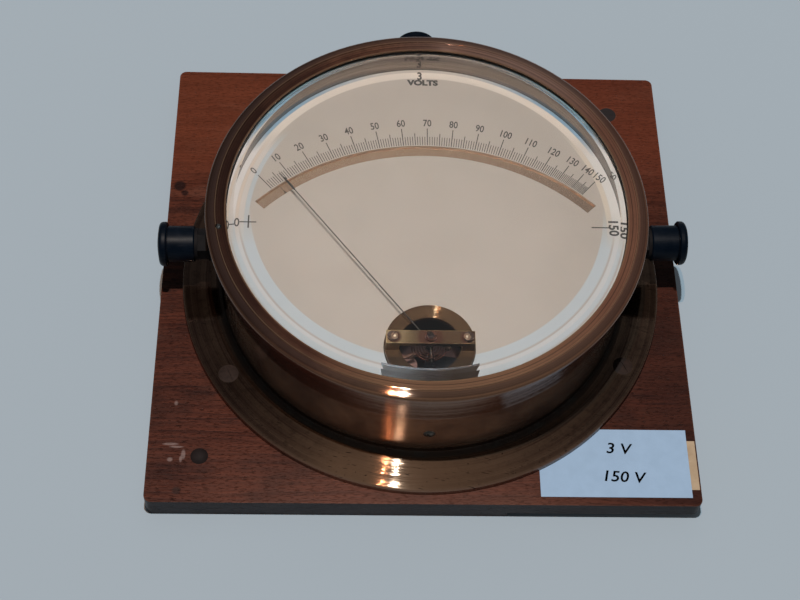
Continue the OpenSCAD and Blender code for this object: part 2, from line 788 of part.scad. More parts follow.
module foot_plate() color("#7b6644") {
    at_pivot() translate([0, 0, base_t]) difference() {
        cylinder(r = cheek_r, h = foot_plate_t);
        translate([0, 0, -1]) cylinder(r = 2 + snug, h = foot_plate_t + 2);
        turned(rod_turns) translate([rod_at, 0, -1]) cylinder(r = rod_r + slip, h = foot_plate_t + 2);
    }
}

module lower_pivot_screw() color("#5b544e") {
    at_pivot() difference() {
        translate([0, 0, 1]) cylinder(r = 2, h = lower_cup_z - 1);
        translate([0, 0, 1]) mirror([0, 0, 1]) slot_cut(2, 0, 0);
        translate([0, 0, lower_cup_z - cup_depth]) cylinder(r1 = 0.02, r2 = cup_depth, h = cup_depth + eps);
    }
}

// Largest radius of a nut on a tie rod that still clears the housing
function housing_rod_gap() = rod_at - housing_r - 0.1;

module tie_rods() color("#8f7a52") {
    at_pivot() turned(rod_turns) translate([rod_at, 0, 0.5])
        cylinder(r = rod_r, h = coil_top + housing_foot_t + 2.6 - 0.5);
}

module tie_rod_nuts() color("#8f7a52") {
    at_pivot() turned(rod_turns) translate([rod_at, 0, coil_top + housing_foot_t]) difference() {
        cylinder(r = housing_rod_gap(), h = 2, $fn = 6);
        translate([0, 0, -1]) cylinder(r = rod_r + snug, h = 4);
    }
}

module coil_bobbin() color("#2a1f1b") {
    core_r = coil_bore_r + core_wall;
    at_pivot() translate([0, 0, coil_z]) difference() {
        union() {
            cylinder(r = core_r, h = bobbin_h);
            cylinder(r = cheek_r, h = cheek_t);
            translate([0, 0, bobbin_h - cheek_t]) cylinder(r = cheek_r, h = cheek_t);
        }
        translate([0, 0, -1]) cylinder(r = coil_bore_r, h = bobbin_h + 2);
        turned(rod_turns) translate([rod_at, 0, -1]) cylinder(r = rod_r + slip, h = bobbin_h + 2);
    }
}

module coil_winding() color("#7d4a3c") {
    at_pivot() translate([0, 0, coil_z + cheek_t])
        ring(coil_bore_r + core_wall + snug, winding_r, bobbin_h - 2 * cheek_t);
}

module fixed_iron() color("#4a4b4d") {
    at_pivot() translate([0, 0, coil_z + (bobbin_h - iron_l) / 2])
        ring_sector(coil_bore_r - 0.8, coil_bore_r - snug, iron_l, vane_rest - 150, vane_rest - 60);
}

module damping_chamber() color("#1c1c1f") {
    w = chamber_wall;
    side = 180 * w / (PI * chamber_out);
    at_pivot() translate([0, 0, coil_top]) difference() {
        ring_sector(chamber_in, chamber_out, chamber_h + w, chamber_start - side, chamber_end + side);
        translate([0, 0, w]) ring_sector(chamber_in - 1, chamber_out - w, chamber_h + 1, chamber_start, chamber_end);
    }
}

module damping_cover() color("#202327") {
    side = 180 * chamber_wall / (PI * chamber_out);
    at_pivot() translate([0, 0, chamber_floor_z + chamber_h]) {
        ring_sector(chamber_in, chamber_out, chamber_wall, chamber_start - side, chamber_end + side);
        rotate([0, 0, (chamber_start + chamber_end) / 2 + 20]) translate([9.5, 0, chamber_wall - eps])
            dome(1, 0.5);
    }
}

module small_coil_spool() color("#5a3b34") {
    core_r = small_cheek_r - 1.5;
    at_pivot() translate([small_coil_place[0], small_coil_place[1], coil_top]) {
        cylinder(r = core_r, h = small_coil_h);
        cylinder(r = small_cheek_r, h = 0.8);
        translate([0, 0, small_coil_h - 0.8]) cylinder(r = small_cheek_r, h = 0.8);
    }
}

// Middle line of the small coil's outer layer, about the coil's own axis
function small_coil_path() = let (
    r = small_cheek_r - 1.5 + small_wire_r + slip,
    rise = small_turns * small_pitch,
    z0 = (small_coil_h - rise) / 2
) with_straight_ends([
    for (i = [0:24 * small_turns]) [r * cos(i * 15), r * sin(i * 15), z0 + i * small_pitch / 24]
], 2 * small_wire_r);

module small_coil_winding() color("#a3706a") {
    at_pivot() translate([small_coil_place[0], small_coil_place[1], coil_top])
        tube(small_coil_path(), small_wire_r, 6);
}

// Middle line of the hairspring, from the collet out to its stud
function hair_path() = with_straight_ends([
    for (i = [0:24 * hair_turns]) let (
        r = hair_start_r + i * hair_step / 24,
        a = hair_end_turn - (24 * hair_turns - i) * 15
    )
        [r * cos(a), r * sin(a), 0]
], 2 * hair_wire_r);

module hairspring() color("#7a4634") {
    at_pivot() translate([0, 0, hair_z]) tube(hair_path(), hair_wire_r, 6);
}

module hairspring_stud() color("#8d7448") {
    path = hair_path();
    last = path[len(path) - 1];
    stud_w = 1.2;
    arm_z = housing_z - housing_top_t - hair_z - 0.8;
    arm_l = 4.6;
    at_pivot() translate([0, 0, hair_z]) {
        translate([last[0], last[1], 0]) rotate([0, 0, hair_end_turn + 90]) {
            translate([0, -stud_w / 2, -0.6]) cube([stud_w, stud_w, arm_z + 0.6 + 0.8]);
            translate([0, -stud_w / 2 - arm_l, arm_z]) cube([stud_w, arm_l + stud_w, 0.8]);
        }
    }
}

module spindle() color("#9aa0a5") {
    low = lower_cup_z - cup_depth + tip_gap + 0.06;
    high = upper_cup_z + cup_depth - tip_gap - 0.06;
    cone = 0.9;
    at_pivot() {
        translate([0, 0, low + cone]) cylinder(r = spindle_r, h = high - low - 2 * cone);
        translate([0, 0, high]) tip(spindle_r, cone + eps);
        translate([0, 0, low]) mirror([0, 0, 1]) tip(spindle_r, cone + eps);
    }
}

// Places of the two counterweight arms, local x pointing out along the arm
module tail_places() {
    for (s = [-35, 35]) rotate([0, 0, pointer_angle + 180 + s]) children();
}

module pointer_boss() color("#86796a") {
    at_pivot() difference() {
        union() {
            translate([0, 0, boss_z]) cylinder(r = boss_r, h = boss_h);
            tail_places() translate([0, 0, pointer_z]) rotate([0, 90, 0]) cylinder(r = 0.3, h = tail_l);
        }
        translate([0, 0, boss_z - 1]) cylinder(r = spindle_r + snug, h = boss_h + 2);
    }
}

module pointer() color("#2b2b2b") {
    arm_l = pointer_l - blade_l;
    start = boss_r + snug;
    at_pivot() rotate([0, 0, pointer_angle]) translate([0, 0, pointer_z]) {
        translate([start, 0, 0]) rotate([0, 90, 0])
            cylinder(r1 = pointer_r, r2 = pointer_r * 0.7, h = arm_l - start + 1);
        rotate([90, 0, 0]) translate([0, 0, -blade_t / 2]) linear_extrude(blade_t) polygon([
            [arm_l, -0.2], [arm_l + 1.4, -blade_h / 2], [pointer_l - 0.4, -blade_h / 2],
            [pointer_l, -blade_h / 2 + 0.6], [pointer_l, blade_h / 2], [arm_l + 1.4, blade_h / 2], [arm_l, 0.2]
        ]);
    }
}

module counterweights() color("#a58a55") {
    at_pivot() tail_places() translate([tail_l - 2.4, 0, pointer_z]) rotate([0, 90, 0])
        ring(0.3 + snug, weight_r, 1.6);
}

module moving_iron() color("#54565a") {
    low = coil_z + (bobbin_h - iron_l) / 2;
    at_pivot() translate([0, 0, low]) rotate([0, 0, vane_rest - 165]) difference() {
        union() {
            ring(spindle_r + snug, 1.2, iron_l);
            translate([0.9, -0.3, 0]) cube([iron_reach - 0.9, 0.6, iron_l]);
        }
        translate([0, 0, -1]) cylinder(r = spindle_r + snug, h = iron_l + 2);
    }
}

module damping_vane() color("#b4b8bb") {
    low = chamber_floor_z + (chamber_h - vane_h) / 2;
    at_pivot() rotate([0, 0, vane_rest]) difference() {
        union() {
            translate([0, 0, low]) cylinder(r = 1.2, h = vane_h);
            translate([1, -0.2, low]) cube([vane_reach - 1, 0.4, vane_h]);
        }
        translate([0, 0, low - 1]) cylinder(r = spindle_r + snug, h = vane_h + 2);
    }
}

module hairspring_collet() color("#a58a55") {
    at_pivot() translate([0, 0, hair_z - 0.8]) ring(spindle_r + snug, collet_r, 1.6);
}

module resistance_spools() color("#3a241b") {
    at_case() for (p = spool_places) translate([p[0], p[1], base_t]) difference() {
        union() {
            cylinder(r = spool_core_r, h = spool_h);
            cylinder(r = spool_r, h = spool_cheek_t);
            translate([0, 0, spool_h - spool_cheek_t]) cylinder(r = spool_r, h = spool_cheek_t);
        }
        translate([0, 0, -1]) cylinder(r = 1.6 + slip, h = spool_h + 2);
    }
}

module resistance_windings() color("#6c7a4a") {
    at_case() for (p = spool_places) translate([p[0], p[1], base_t + spool_cheek_t])
        ring(spool_core_r + snug, spool_r - 1.5, spool_h - 2 * spool_cheek_t);
}

module resistance_screws() color("#8f7a52") {
    at_case() for (p = spool_places) translate([p[0], p[1], base_t + spool_h])
        cheese_screw(3.2, 2, 1.6, spool_h + base_t - 0.6, 40);
}

// Path through a list of points with each corner drawn as a bend
function bent_path(points, bend) = let (n = len(points)) concat(
    [points[0]],
    [for (i = [1:n - 2], k = [0:4]) let (
        t = k / 4,
        a = points[i] + bend * (points[i - 1] - points[i]) / norm(points[i - 1] - points[i]),
        b = points[i] + bend * (points[i + 1] - points[i]) / norm(points[i + 1] - points[i])
    ) (1 - t) * (1 - t) * a + 2 * t * (1 - t) * points[i] + t * t * b],
    [points[n - 1]]
);

module wire(points, bend) {
    tube(bent_path(points, bend), lead_r, 8);
}

// Point at the inner end of a terminal's stud
function stud_tail(turn) = let (a = terminal_turn + turn, r = stud_start) [r * cos(a), r * sin(a), terminal_z];

// Point on the side of a resistance spool's top cheek, in the direction a
function spool_tag(i, a) = [
    spool_places[i][0] + (spool_r + lead_r) * cos(a),
    spool_places[i][1] + (spool_r + lead_r) * sin(a),
    base_t + spool_h - spool_cheek_t / 2
];

// Point on the side of the bobbin's top cheek, in the direction a
function coil_tag(a) = [
    pivot_x + (cheek_r + lead_r) * cos(a),
    -pivot_forward + (cheek_r + lead_r) * sin(a),
    coil_z + bobbin_h - cheek_t / 2
];

module lead_wires() color("#7c6a58") {
    low = base_t + 1.5;
    left = stud_tail(180);
    right = stud_tail(0);
    back = stud_tail(90);
    coil_l = coil_tag(160);
    coil_r = coil_tag(20);
    s0 = spool_tag(0, 180);
    s1 = spool_tag(1, 0);
    s1_front = spool_tag(1, 270);
    s2 = spool_tag(2, 90);
    s2_left = spool_tag(2, 180);
    at_case() {
        wire([left + [lead_r, 0, 0], [left[0] + 6, left[1], low], [coil_l[0] - 3, coil_l[1] + 3, low], coil_l], 3);
        wire([right - [lead_r, 0, 0], [right[0] - 6, right[1], low], [s1[0] + 3, s1[1], low], s1], 3);
        wire([back - [0, lead_r, 0], [back[0], back[1] - 4, s2[2]], s2], 1.5);
        wire([s1_front, [s1_front[0] - 4, 4, low], [coil_r[0] + 2, coil_r[1] + 4, low], coil_r], 3);
        wire([s0, s0 + [-2, 14, -4], s2_left + [-2.3, 4, -2], s2_left], 1.5);
    }
}

module terminal_studs() color("#8b7348") {
    for (t = terminal_turns) at_terminal(t) {
        translate([0, 0, stud_start]) cylinder(r = stud_r, h = stud_end - stud_start - 0.8);
        translate([0, 0, stud_end - 0.8 - eps]) cylinder(r1 = stud_r, r2 = stud_r - 0.8, h = 0.8);
    }
}

module terminal_bushes() color("#17181a") {
    neck_z = drum_in - 2.4;
    for (t = terminal_turns) at_case() rotate([0, 0, terminal_turn + t]) difference() {
        translate([0, 0, terminal_z]) rotate([0, 90, 0]) difference() {
            union() {
                translate([0, 0, drum_r - 1]) cylinder(r = bush_r, h = bush_t + 1);
                translate([0, 0, neck_z]) cylinder(r = bush_neck_r, h = drum_r - neck_z);
            }
            cylinder(r = stud_r + slip, h = drum_r * 2);
        }
        translate([0, 0, terminal_z - bush_r - 1]) difference() {
            cylinder(r = drum_r + slip, h = 2 * bush_r + 2, $fn = 360);
            translate([0, 0, bush_r + 1]) rotate([0, 90, 0]) cylinder(r = bush_neck_r + eps, h = drum_r * 2);
        }
    }
}

module terminal_nuts() color("#6f5b3c") {
    for (t = terminal_turns) at_terminal(t) {
        translate([0, 0, contact_z]) ring(stud_r + slip, contact_r, contact_t);
        translate([0, 0, nut_z]) difference() {
            cylinder(r = nut_af / 2 / cos(30), h = nut_t, $fn = 6);
            translate([0, 0, -1]) cylinder(r = stud_r + slip, h = nut_t + 2);
        }
    }
}

module terminal_inner_washers() color("#17181a") {
    for (t = terminal_turns) at_case() rotate([0, 0, terminal_turn + t]) intersection() {
        translate([drum_in - 2.4, 0, terminal_z]) rotate([0, 90, 0]) ring(bush_neck_r + slip, bush_r, 2.4);
        translate([0, 0, terminal_z - bush_r - 1])
            cylinder(r = drum_in - slip, h = 2 * bush_r + 2, $fn = 360);
    }
}

module terminal_inner_nuts() color("#8b7348") {
    washer_t = 0.5;
    for (t = terminal_turns) at_terminal(t) translate([0, 0, drum_in - 2.4]) {
        translate([0, 0, -washer_t]) ring(stud_r + slip, bush_r - 0.1, washer_t);
        translate([0, 0, -washer_t - 3]) difference() {
            cylinder(r = 5 / cos(30), h = 3, $fn = 6);
            translate([0, 0, -1]) cylinder(r = stud_r + slip, h = 5);
        }
    }
}

module clamp_washer(turn) color("#77623f") {
    at_terminal(turn) translate([0, 0, clamp_z]) ring(stud_r + slip, clamp_r, clamp_t);
}

module knob(turn) color("#15171a") {
    edge = 0.5;
    corner = 1.6;
    dome_r = cap_r - corner;
    cap_z = knob_z + barrel_l;
    end_z = cap_z + cap_l;
    bore = stud_r + slip;
    at_terminal(turn) rotate_extrude() polygon(concat(
        [[bore, knob_z], [barrel_r - edge, knob_z], [barrel_r, knob_z + edge]],
        [[barrel_r, cap_z - 0.4], [barrel_r - 0.3, cap_z - 0.1], [barrel_r - 0.3, cap_z]],
        [[cap_r - edge, cap_z], [cap_r, cap_z + edge]],
        arc(cap_r - corner, end_z - corner, corner, 0, 70, 5),
        [for (i = [1:4]) let (r = dome_r * (1 - i / 4)) [r, end_z + cap_dome * (1 - pow(r / dome_r, 2))]],
        [[0, knob_z + knob_bore_l], [bore, knob_z + knob_bore_l]]
    ));
}

echo(hairspring_least_gap = least_gap(hair_path(), 24, hair_wire_r));
echo(small_coil_least_gap = least_gap(small_coil_path(), 24, small_wire_r));

baseboard();
board_plug();
board_tack();
paper_label();
label_tape();
mounting_flange();
flange_screws();
case_drum();
base_plate();
side_screws();
bezel_ring();
bezel_lock_screw();
window_glass();
glass_gasket();
reflector_ring();
dial_plate();
dial_pillars();
mirror_strip();
mirror_clips();
movement_housing();
movement_guard();
pivot_bridge();
bridge_screws();
upper_pivot_screw();
pivot_lock_nut();
foot_plate();
lower_pivot_screw();
tie_rods();
tie_rod_nuts();
coil_bobbin();
coil_winding();
fixed_iron();
damping_chamber();
damping_cover();
small_coil_spool();
small_coil_winding();
hairspring();
hairspring_stud();
spindle();
pointer_boss();
pointer();
counterweights();
moving_iron();
damping_vane();
hairspring_collet();
resistance_spools();
resistance_windings();
resistance_screws();
lead_wires();
terminal_studs();
terminal_bushes();
terminal_nuts();
terminal_inner_washers();
terminal_inner_nuts();
clamp_washer(180);  // left_clamp_washer
knob(180);  // left_knob
clamp_washer(0);  // right_clamp_washer
knob(0);  // right_knob
clamp_washer(90);  // back_clamp_washer
knob(90);  // back_knob
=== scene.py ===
import bmesh
import bpy
import math
from collections import namedtuple
from mathutils import Matrix, Vector


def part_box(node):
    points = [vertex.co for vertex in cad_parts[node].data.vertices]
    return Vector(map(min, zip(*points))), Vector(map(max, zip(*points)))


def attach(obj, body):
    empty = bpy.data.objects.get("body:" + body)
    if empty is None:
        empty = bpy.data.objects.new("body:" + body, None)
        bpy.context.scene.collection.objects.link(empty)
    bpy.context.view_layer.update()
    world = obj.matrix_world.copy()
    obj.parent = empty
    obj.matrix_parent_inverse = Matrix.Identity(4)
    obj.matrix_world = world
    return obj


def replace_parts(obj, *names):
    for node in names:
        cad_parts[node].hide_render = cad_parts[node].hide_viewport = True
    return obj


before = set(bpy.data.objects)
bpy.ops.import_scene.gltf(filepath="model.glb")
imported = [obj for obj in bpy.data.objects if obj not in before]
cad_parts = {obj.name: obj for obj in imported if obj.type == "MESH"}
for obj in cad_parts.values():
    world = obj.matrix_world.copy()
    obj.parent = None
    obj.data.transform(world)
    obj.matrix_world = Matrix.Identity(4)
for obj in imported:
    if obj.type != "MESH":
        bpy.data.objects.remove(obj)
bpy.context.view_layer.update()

MM = 0.001
CASE = (0.0, -0.0034)  # axis of the drum and the bezel
PIVOT = (0.0004, -0.0620)  # axis of the needle
BOARD_TOP = 0.011
DIAL_TOP = 0.0525
BRIDGE_TOP = 0.0605
BRIDGE_SCREW = 0.0138  # from the pivot to each screw of the bridge
SCALE_FOOT = 0.0974  # radius at which the ticks start
INK = 0.00004  # thickness of the print
DIGIT_SHARE = 0.729  # height of a digit, as a share of the font's size
NEEDLE_TURN = 127.2  # degrees from +X at rest
NEEDLE_RISE = 45.47  # millimetres above the board
LAMP = (-0.029, -0.095, 1.0)
WARM_ASIDE = 0.033  # from the key lamp to the warm one
LAMP_SIZE = 0.011


# Node trees

def join(tree, source, target):
    """Links source to the socket target, or sets the socket where source is a plain value."""
    if isinstance(source, bpy.types.NodeSocket):
        tree.links.new(source, target)
    elif target.type == "RGBA" and len(source) == 3:
        target.default_value = (*source, 1.0)
    else:
        target.default_value = source


def put(tree, kind, **values):
    """A new node. Names with a capital are its sockets, the others its settings."""
    made = tree.nodes.new("ShaderNode" + kind)
    for name, value in values.items():
        if name[0].isupper():
            join(tree, value, made.inputs[name.replace("_", " ")])
        else:
            setattr(made, name, value)
    return made


def number(tree, operation, a, b=None):
    """One sum on numbers or sockets."""
    made = put(tree, "Math", operation=operation)
    join(tree, a, made.inputs[0])
    if b is not None:
        join(tree, b, made.inputs[1])
    return made.outputs[0]


def times(tree, a, b):
    return number(tree, "MULTIPLY", a, b)


def vector(tree, operation, a, b=None):
    """One sum on vectors. Lengths, distances and dot products give a number."""
    made = put(tree, "VectorMath", operation=operation)
    join(tree, a, made.inputs[0])
    if b is not None:
        join(tree, b, made.inputs["Scale" if operation == "SCALE" else 1])
    return made.outputs["Value" if operation in ("LENGTH", "DISTANCE", "DOT_PRODUCT") else "Vector"]


def blend(tree, mask, low, high):
    """The colour low where mask is 0 and high where it is 1."""
    made = put(tree, "Mix", data_type="RGBA")
    for place, value in ((0, mask), (6, low), (7, high)):
        join(tree, value, made.inputs[place])
    return made.outputs[2]


def rescale(tree, value, low, high, to_low=0.0, to_high=1.0):
    """Maps low to high onto to_low to to_high, with the ends held."""
    made = put(tree, "MapRange", clamp=True)
    for place, end in enumerate((value, low, high, to_low, to_high)):
        join(tree, end, made.inputs[place])
    return made.outputs[0]


Own = namedtuple("Own", "all x y z")


def coordinates(tree):
    """The object's own coordinates: all as a vector, and x, y and z alone."""
    place = put(tree, "TexCoord").outputs["Object"]
    return Own(place, *put(tree, "SeparateXYZ", Vector=place).outputs)


def upward(tree):
    """1 on faces that look straight up, 0 on upright ones."""
    surface = put(tree, "NewGeometry").outputs["Normal"]
    return put(tree, "SeparateXYZ", Vector=surface).outputs[2]


def new_group(name, inputs, outputs):
    """A node group with named inputs and outputs."""
    tree = bpy.data.node_groups.new(name, "ShaderNodeTree")
    for label, kind, value in inputs:
        socket = tree.interface.new_socket(label, in_out="INPUT", socket_type="NodeSocket" + kind)
        socket.default_value = value
    for label, kind in outputs:
        tree.interface.new_socket(label, in_out="OUTPUT", socket_type="NodeSocket" + kind)
    return tree, tree.nodes.new("NodeGroupInput").outputs, tree.nodes.new("NodeGroupOutput").inputs


def use(tree, group, **values):
    """Places a group in a material, with its values."""
    return put(tree, "Group", node_tree=group, **values).outputs


def blotch_group():
    """Soft patches: 1 in the patches and 0 between them."""
    tree, given, result = new_group("patches", [
        ("Size", "Float", 0.01), ("Stretch", "Vector", (1, 1, 1)), ("Detail", "Float", 4.0),
        ("From", "Float", 0.45), ("To", "Float", 0.6), ("Shift", "Float", 0.0),
    ], [("Mask", "Float"), ("Raw", "Float")])
    shifted = vector(tree, "ADD", put(tree, "TexCoord").outputs["Object"], given["Shift"])
    stretched = vector(tree, "MULTIPLY", shifted, given["Stretch"])
    noise = put(tree, "TexNoise", Vector=stretched, Scale=number(tree, "DIVIDE", 1.0, given["Size"]),
                Detail=given["Detail"], Roughness=0.6).outputs[0]
    join(tree, rescale(tree, noise, given["From"], given["To"]), result["Mask"])
    join(tree, noise, result["Raw"])
    return tree


def round_axis(tree, given):
    """The way out from an upright axis, the distance, and a place that is the same all the way round."""
    moved = vector(tree, "SUBTRACT", put(tree, "TexCoord").outputs["Object"], given["Axis"])
    outwards = vector(tree, "MULTIPLY", moved, (1.0, 1.0, 0.0))
    radius = vector(tree, "LENGTH", outwards)
    height = put(tree, "SeparateXYZ", Vector=moved).outputs[2]
    return outwards, radius, put(tree, "CombineXYZ", X=radius, Y=given["Seed"], Z=height).outputs[0]


def axis_group():
    """Distance from an upright axis, and marks of turning round it."""
    tree, given, result = new_group("turned", [
        ("Axis", "Vector", (0, 0, 0)), ("Spacing", "Float", 0.0004), ("Seed", "Float", 0.0),
    ], [("Radius", "Float"), ("Marks", "Float"), ("Bands", "Float")])
    _, radius, along = round_axis(tree, given)
    fine = number(tree, "DIVIDE", 1.0, given["Spacing"])
    broad = number(tree, "DIVIDE", 0.12, given["Spacing"])
    join(tree, radius, result["Radius"])
    join(tree, put(tree, "TexNoise", Vector=along, Scale=fine, Detail=2.0).outputs[0], result["Marks"])
    join(tree, put(tree, "TexNoise", Vector=along, Scale=broad, Detail=3.0).outputs[0], result["Bands"])
    return tree


def tilt_group():
    """The surface normal, rocked across the lathe marks by fine random slopes."""
    tree, given, result = new_group("lathe marks",
                                    [("Axis", "Vector", (0, 0, 0)), ("Spacing", "Float", 0.00012),
                                     ("Slope", "Float", 0.5), ("Seed", "Float", 0.0), ], [("Normal", "Vector")])
    outwards, _, along = round_axis(tree, given)
    tangent = vector(tree, "NORMALIZE", vector(tree, "CROSS_PRODUCT", (0.0, 0.0, 1.0), outwards))
    surface = put(tree, "NewGeometry").outputs["Normal"]
    across = vector(tree, "CROSS_PRODUCT", tangent, surface)
    fine = number(tree, "DIVIDE", 1.0, given["Spacing"])
    noise = put(tree, "TexNoise", Vector=along, Scale=fine, Detail=3.0, Roughness=0.7).outputs[0]
    slope = times(tree, number(tree, "SUBTRACT", noise, 0.5), given["Slope"])
    rocked = vector(tree, "ADD", vector(tree, "SCALE", across, slope), surface)
    join(tree, vector(tree, "NORMALIZE", rocked), result["Normal"])
    return tree


def edge_group():
    """1 on outer edges, broken up by small patches."""
    tree, given, result = new_group("worn edges", [
        ("Width", "Float", 0.0005), ("From", "Float", 0.02), ("To", "Float", 0.2), ("Break", "Float", 0.6),
    ], [("Mask", "Float")])
    rounded = put(tree, "Bevel", samples=4, Radius=given["Width"]).outputs[0]
    along = vector(tree, "DOT_PRODUCT", rounded, put(tree, "NewGeometry").outputs["Normal"])
    edge = rescale(tree, number(tree, "SUBTRACT", 1.0, along), given["From"], given["To"])
    place = put(tree, "TexCoord").outputs["Object"]
    noise = put(tree, "TexNoise", Vector=place, Scale=420.0, Detail=3.0).outputs[0]
    kept = number(tree, "SUBTRACT", 1.0, times(tree, given["Break"], rescale(tree, noise, 0.4, 0.6)))
    join(tree, times(tree, edge, kept), result["Mask"])
    return tree


def scratch_group():
    """Thin scratches that run one way."""
    tree, given, result = new_group("scratches", [
        ("Length", "Float", 0.02), ("Width", "Float", 0.0002), ("Turn", "Float", 0.0), ("From", "Float", 0.64),
    ], [("Mask", "Float")])
    place = put(tree, "TexCoord").outputs["Object"]
    turned = put(tree, "VectorRotate", rotation_type="Z_AXIS", Vector=place, Angle=given["Turn"]).outputs[0]
    x, y, z = put(tree, "SeparateXYZ", Vector=turned).outputs
    drawn = put(tree, "CombineXYZ", X=number(tree, "DIVIDE", x, given["Length"]),
                Y=number(tree, "DIVIDE", y, given["Width"]),
                Z=number(tree, "DIVIDE", z, given["Length"])).outputs[0]
    noise = put(tree, "TexNoise", Vector=drawn, Scale=1.0, Detail=1.0).outputs[0]
    join(tree, rescale(tree, noise, given["From"], 0.75), result["Mask"])
    return tree


def grain_group():
    """Mahogany: growth figure, ribbon stripe and open pores, all along X."""
    tree, given, result = new_group("mahogany grain", [("Seed", "Float", 0.0)],
                                    [("Figure", "Float"), ("Ribbon", "Float"), ("Pores", "Float")])
    own = coordinates(tree)
    sway = put(tree, "TexNoise", Vector=own.all, Scale=14.0, Detail=2.0).outputs[0]
    y = number(tree, "ADD", own.y, times(tree, sway, 0.008))
    bent = put(tree, "CombineXYZ", X=number(tree, "ADD", own.x, given["Seed"]), Y=y, Z=own.z).outputs[0]

    def layer(stretch, detail):
        place = vector(tree, "MULTIPLY", bent, stretch)
        return put(tree, "TexNoise", Vector=place, Scale=1.0, Detail=detail, Roughness=0.65).outputs[0]

    join(tree, layer((30, 760, 760), 6.0), result["Figure"])
    join(tree, layer((9, 85, 85), 3.0), result["Ribbon"])
    join(tree, rescale(tree, layer((330, 3000, 3000), 1.0), 0.58, 0.68), result["Pores"])
    return tree


PATCHES = blotch_group()
TURNED = axis_group()
TILTED = tilt_group()
EDGES = edge_group()
SCRATCHES = scratch_group()
GRAIN = grain_group()


def hoop(tree, axis, start, end, soft):
    """1 between the radii start and end round axis, with edges blurred by soft."""
    radius = use(tree, TURNED, Axis=(*axis, 0.0))["Radius"]
    inside = rescale(tree, radius, start - soft, start + soft)
    return times(tree, inside, rescale(tree, radius, end - soft, end + soft, 1.0, 0.0))


# Finishes

def finish(name, metallic=0.0, roughness=0.5, **plain):
    """A material with its shader. plain gives the shader's other sockets."""
    made = bpy.data.materials.new(name)
    made.use_nodes = True
    tree = made.node_tree
    shader = tree.nodes["Principled BSDF"].inputs
    for label, value in {"Metallic": metallic, "Roughness": roughness, **plain}.items():
        join(tree, value, shader[label.replace("_", " ")])
    return made, tree, shader


def bump(tree, shader, height, depth):
    """Raises the surface by height times depth, in metres."""
    made = put(tree, "Bump", Distance=depth, Height=height)
    join(tree, made.outputs[0], shader["Normal"])
    return made


def aged_brass(name, deep, body, bright, axis, spacing, rough, patch, streak, hair, seed, slope,
               metallic=0.9, edge=0.0006):
    """Brass with brown patina, bright where it is worn, and marks of turning round axis."""
    # The quarter turn keeps a highlight narrow along the marks
    made, tree, shader = finish(name, metallic=metallic, Anisotropic=1.0, Anisotropic_Rotation=0.25)
    patches = use(tree, PATCHES, Size=patch, From=0.38, To=0.66, Detail=6.0, Shift=seed)
    fine = use(tree, PATCHES, Size=patch * 0.12, From=0.5, To=0.72, Detail=4.0, Shift=seed + 1.7)
    worn = use(tree, EDGES, Width=edge)
    lathe_marks = use(tree, TURNED, Axis=(*axis, 0.0), Spacing=spacing, Seed=seed)
    marks = lathe_marks["Marks"]
    colour = blend(tree, patches["Mask"], deep, body)
    colour = blend(tree, rescale(tree, lathe_marks["Bands"], 0.42, 0.68, 0.0, streak), colour, bright)
    colour = blend(tree, rescale(tree, marks, 0.52, 0.66, 0.0, hair), colour, bright)
    colour = blend(tree, rescale(tree, marks, 0.46, 0.32, 0.0, hair), colour, deep)
    colour = blend(tree, times(tree, fine["Mask"], 0.45), colour, tuple(0.35 * c for c in deep))
    colour = blend(tree, times(tree, worn["Mask"], 0.85), colour, bright)
    join(tree, colour, shader["Base Color"])
    join(tree, rescale(tree, patches["Raw"], 0.35, 0.65, rough[1], rough[0]), shader["Roughness"])
    join(tree, put(tree, "Tangent", direction_type="RADIAL", axis="Z").outputs[0], shader["Tangent"])
    relief = bump(tree, shader, marks, 0.00001)
    rocked = use(tree, TILTED, Axis=(*axis, 0.0), Slope=slope, Seed=seed)
    join(tree, rocked["Normal"], relief.inputs["Normal"])
    return made, tree, shader, colour


def plain_metal(name, colour, shade, rough=0.35, metallic=1.0):
    """Small metal parts: two tones, light edges and a fine tooth."""
    made, tree, shader = finish(name, metallic=metallic)
    patches = use(tree, PATCHES, Size=0.003, From=0.4, To=0.62)
    worn = use(tree, EDGES, Width=0.0002)
    tone = blend(tree, patches["Mask"], shade, colour)
    light = tuple(min(1.0, 1.8 * c + 0.005) for c in colour)
    join(tree, blend(tree, worn["Mask"], tone, light), shader["Base Color"])
    join(tree, rescale(tree, patches["Raw"], 0.3, 0.7, rough + 0.12, rough - 0.08), shader["Roughness"])
    bump(tree, shader, patches["Raw"], 0.00001)
    return made


